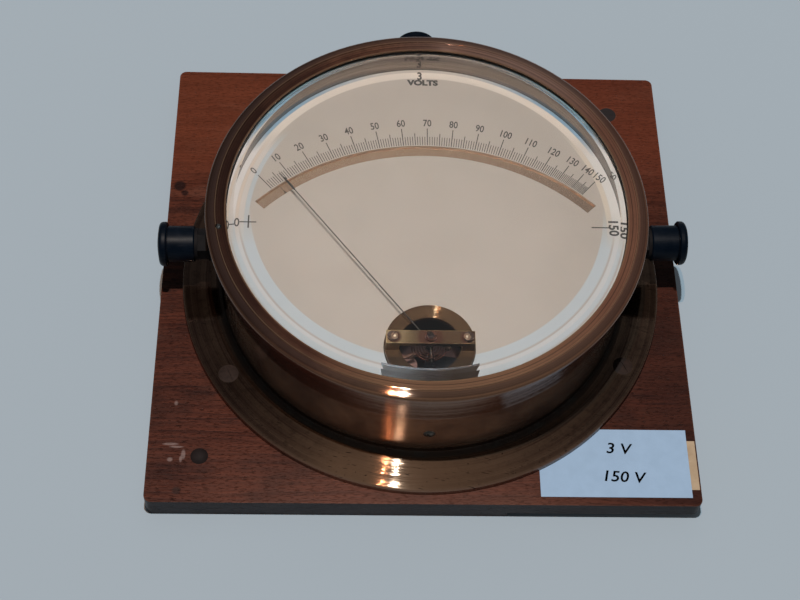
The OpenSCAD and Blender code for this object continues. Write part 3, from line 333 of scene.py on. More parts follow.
def board_finish():
    """Oiled mahogany with open pores, dark stains and pale knocked edges, a painted highlight at the front, and
    painted shade to the right and on the upright sides.
    """
    made, tree, shader = finish("mahogany", Specular_IOR_Level=0.12)
    grain = use(tree, GRAIN)
    stains = use(tree, PATCHES, Size=0.016, Stretch=(0.6, 1.0, 1.0), From=0.50, To=0.68, Detail=6.0, Shift=0.31)
    rubbed = use(tree, PATCHES, Size=0.012, Stretch=(0.35, 1.0, 1.0), From=0.55, To=0.7, Detail=5.0, Shift=2.3)
    figure = rescale(tree, grain["Figure"], 0.34, 0.66)
    colour = blend(tree, figure, (0.022, 0.0065, 0.005), (0.105, 0.029, 0.0165))
    ribbon = rescale(tree, grain["Ribbon"], 0.35, 0.68, 0.0, 0.5)
    colour = blend(tree, ribbon, colour, (0.115, 0.035, 0.020))
    colour = blend(tree, times(tree, stains["Mask"], 0.65), colour, (0.018, 0.008, 0.007))
    colour = blend(tree, times(tree, rubbed["Mask"], 0.2), colour, (0.17, 0.085, 0.062))
    pores = times(tree, grain["Pores"], 0.75)
    colour = blend(tree, pores, colour, (0.012, 0.006, 0.005))
    own = coordinates(tree)
    # Painted highlight: the front middle lighter and greyer, where the lamp's sheen lies
    front_highlight = times(tree, rescale(tree, own.y, -0.078, -0.108),
                       rescale(tree, number(tree, "ABSOLUTE", own.x), 0.03, 0.10, 1.0, 0.0))
    colour = blend(tree, times(tree, front_highlight, 0.35), colour, (0.19, 0.090, 0.066))
    # dim is painted shade: the right side darker, towards the front
    dim = times(tree, rescale(tree, own.x, 0.03, 0.10, 0.0, 0.5), rescale(tree, own.y, 0.06, 0.02))
    top_right = times(tree, rescale(tree, own.x, 0.02, 0.08, 0.0, 0.45), rescale(tree, own.y, 0.03, 0.07))
    colour = blend(tree, top_right, colour, (0.17, 0.042, 0.020))
    colour = blend(tree, dim, colour, (0.022, 0.008, 0.006))
    low = times(tree, rescale(tree, own.y, 0.02, -0.03, 0.0, 0.22),
                rescale(tree, number(tree, "ABSOLUTE", own.x), 0.08, 0.10))
    colour = blend(tree, low, colour, (0.016, 0.007, 0.007))
    top_left = times(tree, rescale(tree, own.x, -0.03, -0.07, 0.0, 0.4), rescale(tree, own.y, 0.035, 0.06))
    colour = blend(tree, top_left, colour, (0.20, 0.050, 0.021))
    # Painted shade: the upright sides of the board darker than its top
    edge_face = rescale(tree, upward(tree), 0.75, 0.35)
    colour = blend(tree, times(tree, edge_face, 0.8), colour, (0.016, 0.016, 0.020))

    def spot(x, y, radius, soft, strength, tone, colour, drawn=(1.0, 1.0)):
        """A stain on the top face at x, y, narrowed by the factors drawn."""
        away = vector(tree, "SUBTRACT", own.all, (x, y, BOARD_TOP))
        away = vector(tree, "LENGTH", vector(tree, "MULTIPLY", away, (*drawn, 1.0)))
        ragged = number(tree, "ADD", away, times(tree, number(tree, "SUBTRACT", rubbed["Raw"], 0.5), radius * 1.6))
        mask = rescale(tree, ragged, radius, radius + soft, strength, 0.0)
        return blend(tree, mask, colour, tone)

    colour = spot(-0.1059, 0.0431, 0.0022, 0.001, 0.85, (0.012, 0.006, 0.006), colour)
    colour = spot(-0.1034, 0.0394, 0.0014, 0.0008, 0.8, (0.012, 0.006, 0.006), colour)
    chip = (0.26, 0.19, 0.18)
    for x, y, radius, drawn in ((-0.1010, -0.0834, 0.0006, (0.3, 1.6)), (-0.0985, -0.0846, 0.0005, (0.3, 1.8)),
                                (-0.0957, -0.0880, 0.0007, (1.2, 0.5)), (-0.0966, -0.0900, 0.0005, (1.4, 0.6)),
                                (-0.1008, -0.0902, 0.0005, (0.8, 0.9)), (-0.1000, -0.0650, 0.0003, (0.8, 0.6))):
        colour = spot(x, y, radius, 0.0005, 0.6, chip, colour, drawn)
    colour = spot(-0.0975, -0.1035, 0.0011, 0.0010, 0.7, (0.020, 0.012, 0.011), colour)
    worn = use(tree, EDGES, Width=0.0012, From=0.02, To=0.25)
    colour = blend(tree, times(tree, worn["Mask"], 0.35), colour, (0.26, 0.11, 0.07))
    join(tree, colour, shader["Base Color"])
    join(tree, rescale(tree, rubbed["Raw"], 0.3, 0.7, 0.42, 0.30), shader["Roughness"])
    height = number(tree, "SUBTRACT", times(tree, grain["Figure"], 0.5), grain["Pores"])
    bump(tree, shader, height, 0.00012)
    return made


def flange_finish():
    """Dark flange with green dirt in the corner by the drum and small nicks; painted light at the front round the
    highlight, painted shade to the left and in that corner.
    """
    made, tree, shader, colour = aged_brass(
        "flange brass", (0.042, 0.022, 0.017), (0.078, 0.046, 0.032), (0.30, 0.21, 0.14), axis=CASE,
        spacing=0.0005, rough=(0.06, 0.12), patch=0.022, streak=0.25, hair=0.2, seed=0.4, slope=1.9)
    own = coordinates(tree)
    # Painted highlight: a lighter glow at the front, strongest round the lamp's streak
    beside = number(tree, "MAXIMUM", number(tree, "ADD", own.x, 0.014),
                    times(tree, number(tree, "ADD", own.x, 0.0296), -2.7))
    front = times(tree, rescale(tree, own.y, -0.074, -0.094, 0.0, 0.8),
                  rescale(tree, beside, 0.010, 0.060, 1.0, 0.15))
    colour = blend(tree, front, colour, (0.25, 0.155, 0.098))
    ring = use(tree, TURNED, Axis=(*CASE, 0.0))
    near = rescale(tree, ring["Radius"], 0.0862, 0.0872, 1.0, 0.0)
    ragged = use(tree, PATCHES, Size=0.006, From=0.45, To=0.66, Shift=4.1)
    green = times(tree, near, times(tree, ragged["Mask"], 0.35))
    rim = rescale(tree, ring["Radius"], 0.1003, 0.1008, 0.0, 0.45)
    colour = blend(tree, rim, colour, (0.30, 0.18, 0.13))
    # Painted shade: the band next to the drum's foot darkened, beside the green dirt patched into it
    colour = blend(tree, times(tree, near, 0.7), colour, (0.030, 0.020, 0.016))
    colour = blend(tree, green, colour, (0.040, 0.052, 0.044))
    # Painted shade: darker towards the left
    left = rescale(tree, own.x, -0.05, -0.09, 0.0, 0.4)
    colour = blend(tree, left, colour, (0.020, 0.009, 0.008))
    nicks = use(tree, SCRATCHES, Length=0.0050, Width=0.0005, Turn=0.2, From=0.69)
    flecks = use(tree, PATCHES, Size=0.0016, From=0.68, To=0.72, Detail=3.0, Shift=3.3)
    marks = number(tree, "MAXIMUM", nicks["Mask"], flecks["Mask"])
    colour = blend(tree, times(tree, marks, 0.85), colour, (0.012, 0.007, 0.006))
    join(tree, colour, shader["Base Color"])
    dirt = number(tree, "SUBTRACT", rescale(tree, own.y, -0.06, -0.09, 0.85, 0.62), times(tree, green, 0.5))
    join(tree, dirt, shader["Metallic"])
    return made


def bezel_finish():
    """Turned bezel with worn edges; rings of painted highlight on the lip, ridge and outer edge, a painted dark
    reflection on the polished roll, painted shade on the upright skirt, and painted light and shade from side to
    side.
    """
    made, tree, shader, colour = aged_brass(
        "bezel brass", (0.12, 0.045, 0.031), (0.25, 0.105, 0.064), (0.55, 0.31, 0.19), axis=CASE,
        spacing=0.0004, rough=(0.06, 0.10), metallic=0.8, patch=0.018, streak=0.5, hair=0.7, seed=1.6,
        slope=0.9)
    own = coordinates(tree)
    top = rescale(tree, own.z, 0.0625, 0.0635)
    # Painted shade to the left, painted light to the right
    left = rescale(tree, own.x, -0.035, -0.070, 0.0, 0.85)
    right = rescale(tree, own.x, -0.010, 0.060, 0.0, 0.6)
    colour = blend(tree, left, colour, (0.034, 0.015, 0.012))
    colour = blend(tree, right, colour, (0.38, 0.18, 0.12))
    # Painted highlights at the back and at the front
    back = times(tree, rescale(tree, own.y, 0.035, 0.070, 0.0, 0.85), rescale(tree, own.x, -0.020, 0.055))
    colour = blend(tree, back, colour, (0.50, 0.33, 0.27))
    front = times(tree, rescale(tree, own.y, -0.050, -0.080, 0.0, 0.5), rescale(tree, own.x, -0.045, -0.020))
    colour = blend(tree, front, colour, (0.46, 0.28, 0.17))
    # Light rings are painted highlights on the lip, ridge and outer edge; dark rings are painted shade in the grooves
    # and a painted dark reflection on the roll
    for start, end, tone, strength in (
            (0.0799, 0.0805, (0.34, 0.20, 0.12), 0.8), (0.0816, 0.0820, (0.05, 0.026, 0.020), 0.6),
            (0.0830, 0.0833, (0.06, 0.030, 0.022), 0.5), (0.0840, 0.0844, (0.40, 0.26, 0.17), 0.6),
            (0.0847, 0.0872, (0.105, 0.066, 0.056), 0.6), (0.0876, 0.0884, (0.26, 0.15, 0.10), 0.6)):
        mask = times(tree, hoop(tree, CASE, start, end, 0.00012), top)
        colour = blend(tree, times(tree, mask, strength), colour, tone)
    # Painted shade on the upright skirt
    colour = blend(tree, rescale(tree, upward(tree), 0.4, 0.1, 0.0, 0.55), colour, (0.085, 0.045, 0.032))
    join(tree, colour, shader["Base Color"])
    return made


def housing_finish():
    """Turned ring of copper-coloured brass, with painted shade on its inner wall and a painted shadow over its front
    half.
    """
    made, tree, shader, colour = aged_brass(
        "housing brass", (0.19, 0.095, 0.048), (0.28, 0.155, 0.078), (0.52, 0.34, 0.18), axis=PIVOT,
        spacing=0.0003, rough=(0.07, 0.10), patch=0.02, streak=0.3, hair=0.25, edge=0.0003, metallic=0.75, seed=2.4,
        slope=2.6)
    own = coordinates(tree)
    # Painted shade: the inner wall of the ring dark and less metallic
    inside = rescale(tree, own.z, 0.0534, 0.0531)
    radius = use(tree, TURNED, Axis=(*PIVOT, 0.0))["Radius"]
    inside = times(tree, inside, rescale(tree, radius, 0.0171, 0.0168))
    # Painted shadow of the bridge over the front half of the ring
    shaded = rescale(tree, own.y, PIVOT[1] - 0.003, PIVOT[1] - 0.007, 0.0, 0.6)
    colour = blend(tree, shaded, colour, (0.060, 0.040, 0.028))
    colour = blend(tree, inside, colour, (0.012, 0.009, 0.011))
    join(tree, colour, shader["Base Color"])
    join(tree, rescale(tree, inside, 0.0, 1.0, 0.75, 0.1), shader["Metallic"])
    return made


def dial_finish():
    """Cream enamel with a fine tooth, painted shade towards its border and on its upright faces, and painted light in
    pale and bluish rings by its border.
    """
    made, tree, shader = finish("cream dial", roughness=0.55)
    soft = use(tree, PATCHES, Size=0.05, From=0.35, To=0.7, Detail=2.0)
    fine = use(tree, PATCHES, Size=0.0006, From=0.3, To=0.7, Detail=2.0)
    colour = blend(tree, soft["Mask"], (0.435, 0.378, 0.335), (0.468, 0.410, 0.366))
    colour = blend(tree, times(tree, fine["Mask"], 0.10), colour, (0.385, 0.33, 0.29))
    own = coordinates(tree)
    low = rescale(tree, own.y, 0.004, -0.016)
    side = rescale(tree, number(tree, "ABSOLUTE", own.x), 0.015, 0.055)
    shifted = (CASE[0] + 0.0006, CASE[1] + 0.0082)
    shade = rescale(tree, use(tree, TURNED, Axis=(*CASE, 0.0))["Radius"], 0.045, 0.073, 0.0, 0.5)
    colour = blend(tree, shade, colour, (0.375, 0.33, 0.295))
    high = rescale(tree, own.y, 0.030, 0.042)
    middle = number(tree, "SUBTRACT", number(tree, "SUBTRACT", 1.0, low), high)
    left = times(tree, middle, rescale(tree, own.x, 0.01, -0.01))
    right = number(tree, "SUBTRACT", middle, left)
    # Painted light: pale, bluish and tan rings by the border stand in for light thrown onto the dial by the wall and
    # the glass, the teal one at the rim for a reflection
    for axis, start, end, tone, strength in (
            (shifted, 0.0718, 0.0766, (0.435, 0.475, 0.515), low),
            (shifted, 0.0762, 0.0771, (0.38, 0.34, 0.32), times(tree, low, 0.7)),
            (shifted, 0.0771, 0.0815, (0.50, 0.50, 0.515), low),
            (CASE, 0.0716, 0.0735, (0.42, 0.445, 0.475), left),
            (CASE, 0.0735, 0.0757, (0.54, 0.485, 0.455), left),
            (CASE, 0.0757, 0.0770, (0.56, 0.46, 0.39), left),
            (CASE, 0.0735, 0.0757, (0.55, 0.475, 0.40), right),
            (CASE, 0.0757, 0.0800, (0.585, 0.56, 0.545), right),
            (CASE, 0.0771, 0.0800, (0.60, 0.565, 0.56), left),
            (CASE, 0.0747, 0.0780, (0.62, 0.545, 0.485), high),
            (CASE, 0.0780, 0.0800, (0.17, 0.29, 0.40), times(tree, high, side))):
        mask = hoop(tree, axis, start, end, 0.0002)
        colour = blend(tree, times(tree, mask, strength), colour, tone)
    # Painted shade on the upright faces
    colour = blend(tree, rescale(tree, upward(tree), 0.7, 0.4), colour, (0.20, 0.145, 0.11))
    join(tree, colour, shader["Base Color"])
    bump(tree, shader, fine["Raw"], 0.000008)
    return made


def silvered_finish():
    """Silvered brass ring, tarnished brown, with a painted pale highlight line and a painted bluish reflection band
    under the glass.
    """
    made, tree, shader = finish("silvered ring", metallic=1.0)
    lines = use(tree, PATCHES, Size=0.03, Stretch=(1.0, 1.0, 60.0), From=0.35, To=0.65, Detail=2.0)
    own = coordinates(tree)
    height = own.z
    side = times(tree, rescale(tree, number(tree, "ABSOLUTE", own.x), 0.015, 0.055),
                 rescale(tree, own.y, 0.030, 0.042))
    colour = blend(tree, lines["Mask"], (0.20, 0.165, 0.145), (0.30, 0.26, 0.235))
    foot = rescale(tree, height, DIAL_TOP + 0.0003, DIAL_TOP + 0.0006, 1.0, 0.0)
    colour = blend(tree, foot, colour, (0.03, 0.03, 0.03))
    # Painted reflection: a bluish band and a pale line near the top, as plain colour with the metal turned off
    band = times(tree, rescale(tree, height, 0.0610, 0.0613), side)
    colour = blend(tree, band, colour, (0.20, 0.33, 0.39))
    line = times(tree, rescale(tree, height, 0.0604, 0.0606), rescale(tree, height, 0.0610, 0.0612, 1.0, 0.0))
    line = times(tree, line, side)
    colour = blend(tree, line, colour, (0.75, 0.70, 0.66))
    join(tree, colour, shader["Base Color"])
    join(tree, number(tree, "SUBTRACT", 1.0, number(tree, "MAXIMUM", line, band)), shader["Metallic"])
    join(tree, rescale(tree, lines["Raw"], 0.3, 0.7, 0.10, 0.16), shader["Roughness"])
    return made


def mirror_finish():
    """Mirror glass gone brownish with age."""
    made, tree, shader = finish("aged mirror", metallic=0.9)
    patches = use(tree, PATCHES, Size=0.004, From=0.4, To=0.75)
    colour = blend(tree, patches["Mask"], (0.725, 0.505, 0.365), (0.80, 0.575, 0.425))
    join(tree, colour, shader["Base Color"])
    join(tree, rescale(tree, patches["Raw"], 0.3, 0.7, 0.03, 0.08), shader["Roughness"])
    return made


def glass_finish():
    """Clear glass that lets the light of the lamps through."""
    made, tree, shader = finish("window glass", roughness=0.0, Transmission_Weight=1.0, IOR=1.47)
    smears = use(tree, PATCHES, Size=0.02, From=0.5, To=0.8)
    join(tree, blend(tree, smears["Mask"], (0.985, 0.99, 0.99), (0.95, 0.965, 0.965)), shader["Base Color"])
    rays = put(tree, "LightPath")
    clear = put(tree, "BsdfTransparent", Color=(0.95, 0.97, 0.97, 1.0))
    which = put(tree, "MixShader")
    passing = number(tree, "MAXIMUM", rays.outputs["Is Shadow Ray"], rays.outputs["Is Diffuse Ray"])
    join(tree, passing, which.inputs[0])
    join(tree, tree.nodes["Principled BSDF"].outputs[0], which.inputs[1])
    join(tree, clear.outputs[0], which.inputs[2])
    join(tree, which.outputs[0], tree.nodes["Material Output"].inputs["Surface"])
    return made


def ebonite_finish():
    """Polished black hard rubber with hair scratches and a dusty bloom."""
    made, tree, shader = finish("ebonite", roughness=0.4, Specular_IOR_Level=0.12)
    bloom = use(tree, PATCHES, Size=0.006, From=0.45, To=0.7)
    hair = use(tree, SCRATCHES, Length=0.006, Width=0.00012, From=0.62)
    colour = blend(tree, times(tree, bloom["Mask"], 0.5), (0.0008, 0.0034, 0.0085), (0.0030, 0.0070, 0.0150))
    colour = blend(tree, times(tree, hair["Mask"], 0.2), colour, (0.03, 0.032, 0.035))
    worn = use(tree, EDGES, Width=0.0005)
    colour = blend(tree, times(tree, worn["Mask"], 0.2), colour, (0.04, 0.04, 0.042))
    join(tree, colour, shader["Base Color"])
    join(tree, rescale(tree, bloom["Raw"], 0.3, 0.7, 0.32, 0.46), shader["Roughness"])
    bump(tree, shader, hair["Mask"], 0.00001)
    return made


def matt_finish(name, colour, shade, roughness=0.7, tooth=0.0006, patch=0.006, shine=0.5):
    """Paper, fibre, lacquer and the like: two tones and a tooth."""
    made, tree, shader = finish(name, roughness=roughness, Specular_IOR_Level=shine)
    patches = use(tree, PATCHES, Size=patch, From=0.35, To=0.65)
    fine = use(tree, PATCHES, Size=tooth, From=0.3, To=0.7)
    tone = blend(tree, patches["Mask"], shade, colour)
    tone = blend(tree, times(tree, fine["Mask"], 0.25), tone, shade)
    join(tree, tone, shader["Base Color"])
    bump(tree, shader, fine["Raw"], 0.00003)
    return made


def silk_finish(name, colour, shade):
    """Silk covered wire in close level turns."""
    turn = 0.0009
    made, tree, shader = finish(name, roughness=0.55, Sheen_Weight=0.4)
    own = coordinates(tree)
    rise = times(tree, own.z, 2 * math.pi / turn)
    wave = number(tree, "SINE", rise)
    # Painted shade in the grooves: darker between the turns
    tone = blend(tree, rescale(tree, wave, -1.0, 0.2), shade, colour)
    fuzz = use(tree, PATCHES, Size=0.0005, From=0.4, To=0.7)
    tone = blend(tree, times(tree, fuzz["Mask"], 0.3), tone, shade)
    join(tree, tone, shader["Base Color"])
    bump(tree, shader, wave, turn * 0.3)
    return made


def wood_finish(name, colour, shade):
    """Plain turned wood for small pieces."""
    made, tree, shader = finish(name, roughness=0.5)
    grain = use(tree, GRAIN, Seed=0.7)
    tone = blend(tree, rescale(tree, grain["Figure"], 0.3, 0.7), shade, colour)
    join(tree, blend(tree, grain["Pores"], tone, tuple(0.4 * c for c in shade)), shader["Base Color"])
    bump(tree, shader, grain["Figure"], 0.00006)
    return made


def bridge_finish(name, colour, shade):
    """Brass drawn and rubbed along its length, lighter to the left, with painted shadow round the screws and the nut.
    """
    made, tree, shader = finish(name, metallic=1.0)
    lines = use(tree, PATCHES, Size=0.002, Stretch=(1.0, 12.0, 12.0), From=0.35, To=0.65, Detail=3.0)
    worn = use(tree, EDGES, Width=0.0002)
    tone = blend(tree, lines["Mask"], shade, colour)
    own = coordinates(tree)
    left = rescale(tree, own.x, PIVOT[0] - 0.004, PIVOT[0] - 0.017)
    tone = blend(tree, times(tree, left, 0.6), tone, (0.30, 0.23, 0.13))
    # Painted shadow: dark rings round the raised screw heads and the nut in the middle
    for dx, near, strength in ((-BRIDGE_SCREW, 0.0021, 0.95), (BRIDGE_SCREW, 0.0021, 0.95), (0.0, 0.0042, 0.85)):
        away = vector(tree, "DISTANCE", own.all, (PIVOT[0] + dx, PIVOT[1], BRIDGE_TOP))
        screw_shadow = rescale(tree, away, near, near + 0.0009, strength, 0.0)
        tone = blend(tree, screw_shadow, tone, (0.050, 0.020, 0.014))
    join(tree, blend(tree, worn["Mask"], tone, (0.75, 0.55, 0.28)), shader["Base Color"])
    join(tree, rescale(tree, lines["Raw"], 0.3, 0.7, 0.28, 0.42), shader["Roughness"])
    bump(tree, shader, lines["Raw"], 0.00002)
    return made


def bridge_screw_finish():
    """Dark screw heads with a painted highlight in the middle."""
    made, tree, shader = finish("turned screws", metallic=0.6, roughness=0.35)
    place = put(tree, "TexCoord").outputs["Object"]
    tone = (0.045, 0.026, 0.020)
    for side in (-BRIDGE_SCREW, BRIDGE_SCREW):
        away = vector(tree, "DISTANCE", place, (PIVOT[0] + side, PIVOT[1] - 0.0002, BRIDGE_TOP + 0.001))
        # Painted highlight: a lighter ring and a bright spot in the middle of each head
        for near, soft, shine in ((0.0013, 0.0003, (0.16, 0.10, 0.065)), (0.0003, 0.0004, (0.62, 0.50, 0.37))):
            tone = blend(tree, rescale(tree, away, near, near + soft, 1.0, 0.0), tone, shine)
    join(tree, tone, shader["Base Color"])
    return made


def guard_finish():
    """Steel sheet brushed along its bend, with a painted bluish highlight to the left, brown to the right, and
    painted shade on its top edge.
    """
    made, tree, shader = finish("guard steel", metallic=0.4)
    lines = use(tree, PATCHES, Size=0.003, Stretch=(1.0, 1.0, 9.0), From=0.35, To=0.65, Detail=3.0)
    own = coordinates(tree)
    tone = blend(tree, lines["Mask"], (0.16, 0.20, 0.26), (0.30, 0.35, 0.43))
    # Painted highlight: bluish-white to the left
    left = rescale(tree, own.x, -0.001, -0.013, 0.0, 0.9)
    right = rescale(tree, own.x, -0.001, 0.009, 0.0, 0.95)
    tone = blend(tree, left, tone, (0.60, 0.76, 0.92))
    tone = blend(tree, right, tone, (0.13, 0.085, 0.060))
    # Painted shade on the top edge
    tone = blend(tree, rescale(tree, upward(tree), 0.5, 0.8, 0.0, 0.85), tone, (0.03, 0.03, 0.035))
    join(tree, tone, shader["Base Color"])
    join(tree, rescale(tree, lines["Raw"], 0.3, 0.7, 0.38, 0.5), shader["Roughness"])
    bump(tree, shader, lines["Raw"], 0.00003)
    return made


def dress(nodes, material):
    """Puts a material on CAD nodes."""
    for name in nodes:
        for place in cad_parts[name].material_slots:
            place.material = material


def dress_cad():
    """Gives every CAD node its material."""
    drum = aged_brass("drum brass", (0.22, 0.120, 0.085), (0.54, 0.325, 0.21), (0.70, 0.48, 0.32),
                      axis=CASE, spacing=0.0003, rough=(0.05, 0.09), metallic=0.72, patch=0.02, streak=0.15,
                      hair=0.15, seed=0.9, slope=0.55)[0]
    dress(["baseboard"], board_finish())
    dress(["board_plug"], wood_finish("plug wood", (0.014, 0.008, 0.009), (0.008, 0.005, 0.006)))
    dress(["board_tack"], matt_finish("blackened iron", (0.020, 0.014, 0.014), (0.013, 0.010, 0.010), shine=0.12))
    dress(["paper_label"], matt_finish("label paper", (0.33, 0.49, 0.70), (0.305, 0.455, 0.65), tooth=0.0004))
    dress(["label_tape"], matt_finish("yellowed tape", (0.48, 0.37, 0.25), (0.38, 0.28, 0.18), roughness=0.4))
    dress(["mounting_flange"], flange_finish())
    dress(["flange_screws"],
          matt_finish("screw heads", (0.034, 0.021, 0.017), (0.018, 0.011, 0.009), shine=0.12, patch=0.003))
    dress(["case_drum"], drum)
    dress(["side_screws"], plain_metal("side screws", (0.13, 0.11, 0.09), (0.03, 0.024, 0.02), rough=0.4))
    dress(["bezel_ring"], bezel_finish())
    dress(["bezel_lock_screw"], plain_metal("lock screw", (0.16, 0.19, 0.20), (0.05, 0.05, 0.05), rough=0.35))
    dress(["window_glass"], glass_finish())
    dress(["glass_gasket"], matt_finish("gasket card", (0.30, 0.34, 0.35), (0.20, 0.22, 0.22)))
    dress(["reflector_ring"], silvered_finish())
    dress(["dial_plate"], dial_finish())
    dress(["mirror_strip"], mirror_finish())
    dress(["movement_housing"], housing_finish())
    dress(["movement_guard"], guard_finish())
    dress(["pivot_bridge"], bridge_finish("bridge brass", (0.078, 0.047, 0.026), (0.042, 0.025, 0.015)))
    dress(["pivot_lock_nut"], plain_metal("dark nut", (0.09, 0.040, 0.028), (0.04, 0.018, 0.014), rough=0.3))
    dress(["bridge_screws"], bridge_screw_finish())
    dress(["upper_pivot_screw", "lower_pivot_screw"],
          plain_metal("blued steel", (0.07, 0.055, 0.055), (0.03, 0.026, 0.03), rough=0.28))
    dress(["foot_plate", "tie_rods", "tie_rod_nuts", "dial_pillars", "mirror_clips", "resistance_screws"],
          plain_metal("inner brass", (0.060, 0.036, 0.022), (0.035, 0.021, 0.013), rough=0.45))
    dress(["coil_bobbin"], matt_finish("bobbin fibre", (0.035, 0.016, 0.014), (0.018, 0.008, 0.008), shine=0.15))
    dress(["coil_winding"], silk_finish("brown silk", (0.21, 0.075, 0.048), (0.10, 0.035, 0.024)))
    dress(["fixed_iron", "moving_iron"],
          plain_metal("soft iron", (0.045, 0.042, 0.044), (0.024, 0.022, 0.023), rough=0.5))
    dress(["damping_chamber", "damping_cover"],
          plain_metal("black lacquer", (0.006, 0.007, 0.010), (0.003, 0.003, 0.005), rough=0.16, metallic=0.0))
    dress(["small_coil_spool"], matt_finish("red fibre", (0.15, 0.065, 0.05), (0.09, 0.036, 0.028), roughness=0.5))
    dress(["small_coil_winding"],
          matt_finish("pink silk", (0.46, 0.22, 0.22), (0.28, 0.12, 0.115), roughness=0.6, tooth=0.0003))
    dress(["hairspring"], plain_metal("bronze hair", (0.07, 0.026, 0.018), (0.04, 0.015, 0.011), rough=0.4))
    dress(["hairspring_stud", "hairspring_collet", "counterweights"],
          plain_metal("small brass", (0.075, 0.042, 0.030), (0.04, 0.022, 0.017), rough=0.4))
    dress(["spindle"], plain_metal("polished steel", (0.25, 0.26, 0.265), (0.15, 0.155, 0.16), rough=0.25))
    dress(["pointer_boss"], plain_metal("boss metal", (0.12, 0.10, 0.085), (0.07, 0.06, 0.05), rough=0.4))
    dress(["pointer"],
          plain_metal("needle black", (0.014, 0.012, 0.011), (0.008, 0.007, 0.006), rough=0.5, metallic=0.0))
    dress(["damping_vane"], plain_metal("vane sheet", (0.10, 0.10, 0.11), (0.06, 0.06, 0.065), rough=0.35))
    dress(["resistance_spools"], wood_finish("spool wood", (0.09, 0.04, 0.025), (0.04, 0.018, 0.012)))
    dress(["resistance_windings"], silk_finish("green silk", (0.13, 0.16, 0.07), (0.06, 0.08, 0.03)))
    dress(["lead_wires"], matt_finish("cotton braid", (0.26, 0.19, 0.14), (0.15, 0.10, 0.07), tooth=0.0005))
    dress(["base_plate"], matt_finish("japanned iron", (0.03, 0.028, 0.028), (0.016, 0.015, 0.015), roughness=0.35))
    dress(["terminal_studs", "terminal_nuts", "terminal_inner_nuts", "left_clamp_washer", "right_clamp_washer",
           "back_clamp_washer"],
          matt_finish("dull brass", (0.012, 0.010, 0.011), (0.006, 0.006, 0.007), shine=0.12))
    dress(["terminal_bushes", "terminal_inner_washers", "left_knob", "right_knob", "back_knob"], ebonite_finish())


# New pieces

def mesh_from(name, shape):
    """Turns an edited shape into a mesh."""
    mesh = bpy.data.meshes.new(name)
    shape.to_mesh(mesh)
    shape.free()
    return mesh


def piece(name, shape, material, body="case", sharp=None):
    """A finished object at the origin that rides on a body. Edges bent by more than sharp degrees stay hard."""
    mesh = mesh_from(name, shape)
    if sharp:
        mesh.shade_smooth()
        mesh.set_sharp_from_angle(angle=math.radians(sharp))
    mesh.materials.append(material)
    made = bpy.data.objects.new(name, mesh)
    bpy.context.scene.collection.objects.link(made)
    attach(made, body)
    return made


def add_bar(shape, length, width, height, place):
    """A thin bar along x from 0 to length, put in place by a matrix."""
    size = Matrix.Diagonal((length, width, height, 1.0))
    start = Matrix.Translation((length / 2, 0.0, height / 2))
    bmesh.ops.create_cube(shape, size=1.0, matrix=place @ start @ size)


def add_words(shape, text, height, width, place, shear=0.0, bold=0.02):
    """Text with digits of that height, narrowed to width, centred on place and lying flat."""
    curve = bpy.data.curves.new("figures", "FONT")
    curve.body = text
    curve.size = height / DIGIT_SHARE
    curve.align_x = "CENTER"
    curve.align_y = "CENTER"
    curve.shear = shear
    curve.resolution_u = 3
    curve.offset = bold * height
    holder = bpy.data.objects.new("figures", curve)
    bpy.context.scene.collection.objects.link(holder)
    bpy.context.view_layer.update()
    flat = bpy.data.meshes.new_from_object(holder.evaluated_get(bpy.context.evaluated_depsgraph_get()))
    flat.transform(place @ Matrix.Diagonal((width, 1.0, 1.0, 1.0)))
    shape.from_mesh(flat)
    bpy.data.meshes.remove(flat)
    bpy.data.objects.remove(holder)
    bpy.data.curves.remove(curve)


def at(centre, radius, angle, height, turn=None):
    """A place on a circle, with x pointing outwards, or turned to the angle turn."""
    a = math.radians(angle)
    spot = (centre[0] + radius * math.cos(a), centre[1] + radius * math.sin(a), height)
    facing = a if turn is None else math.radians(turn)
    return Matrix.Translation(spot) @ Matrix.Rotation(facing, 4, "Z")


def scale_angle(value):
    """Angle of a scale value about the pivot, crowded at the upper end."""
    if value <= 110:
        return 130.6 - 0.587 * value
    part = (value - 110) / 40
    return 66.0 - 23.5 * part + 6.3 * part * part


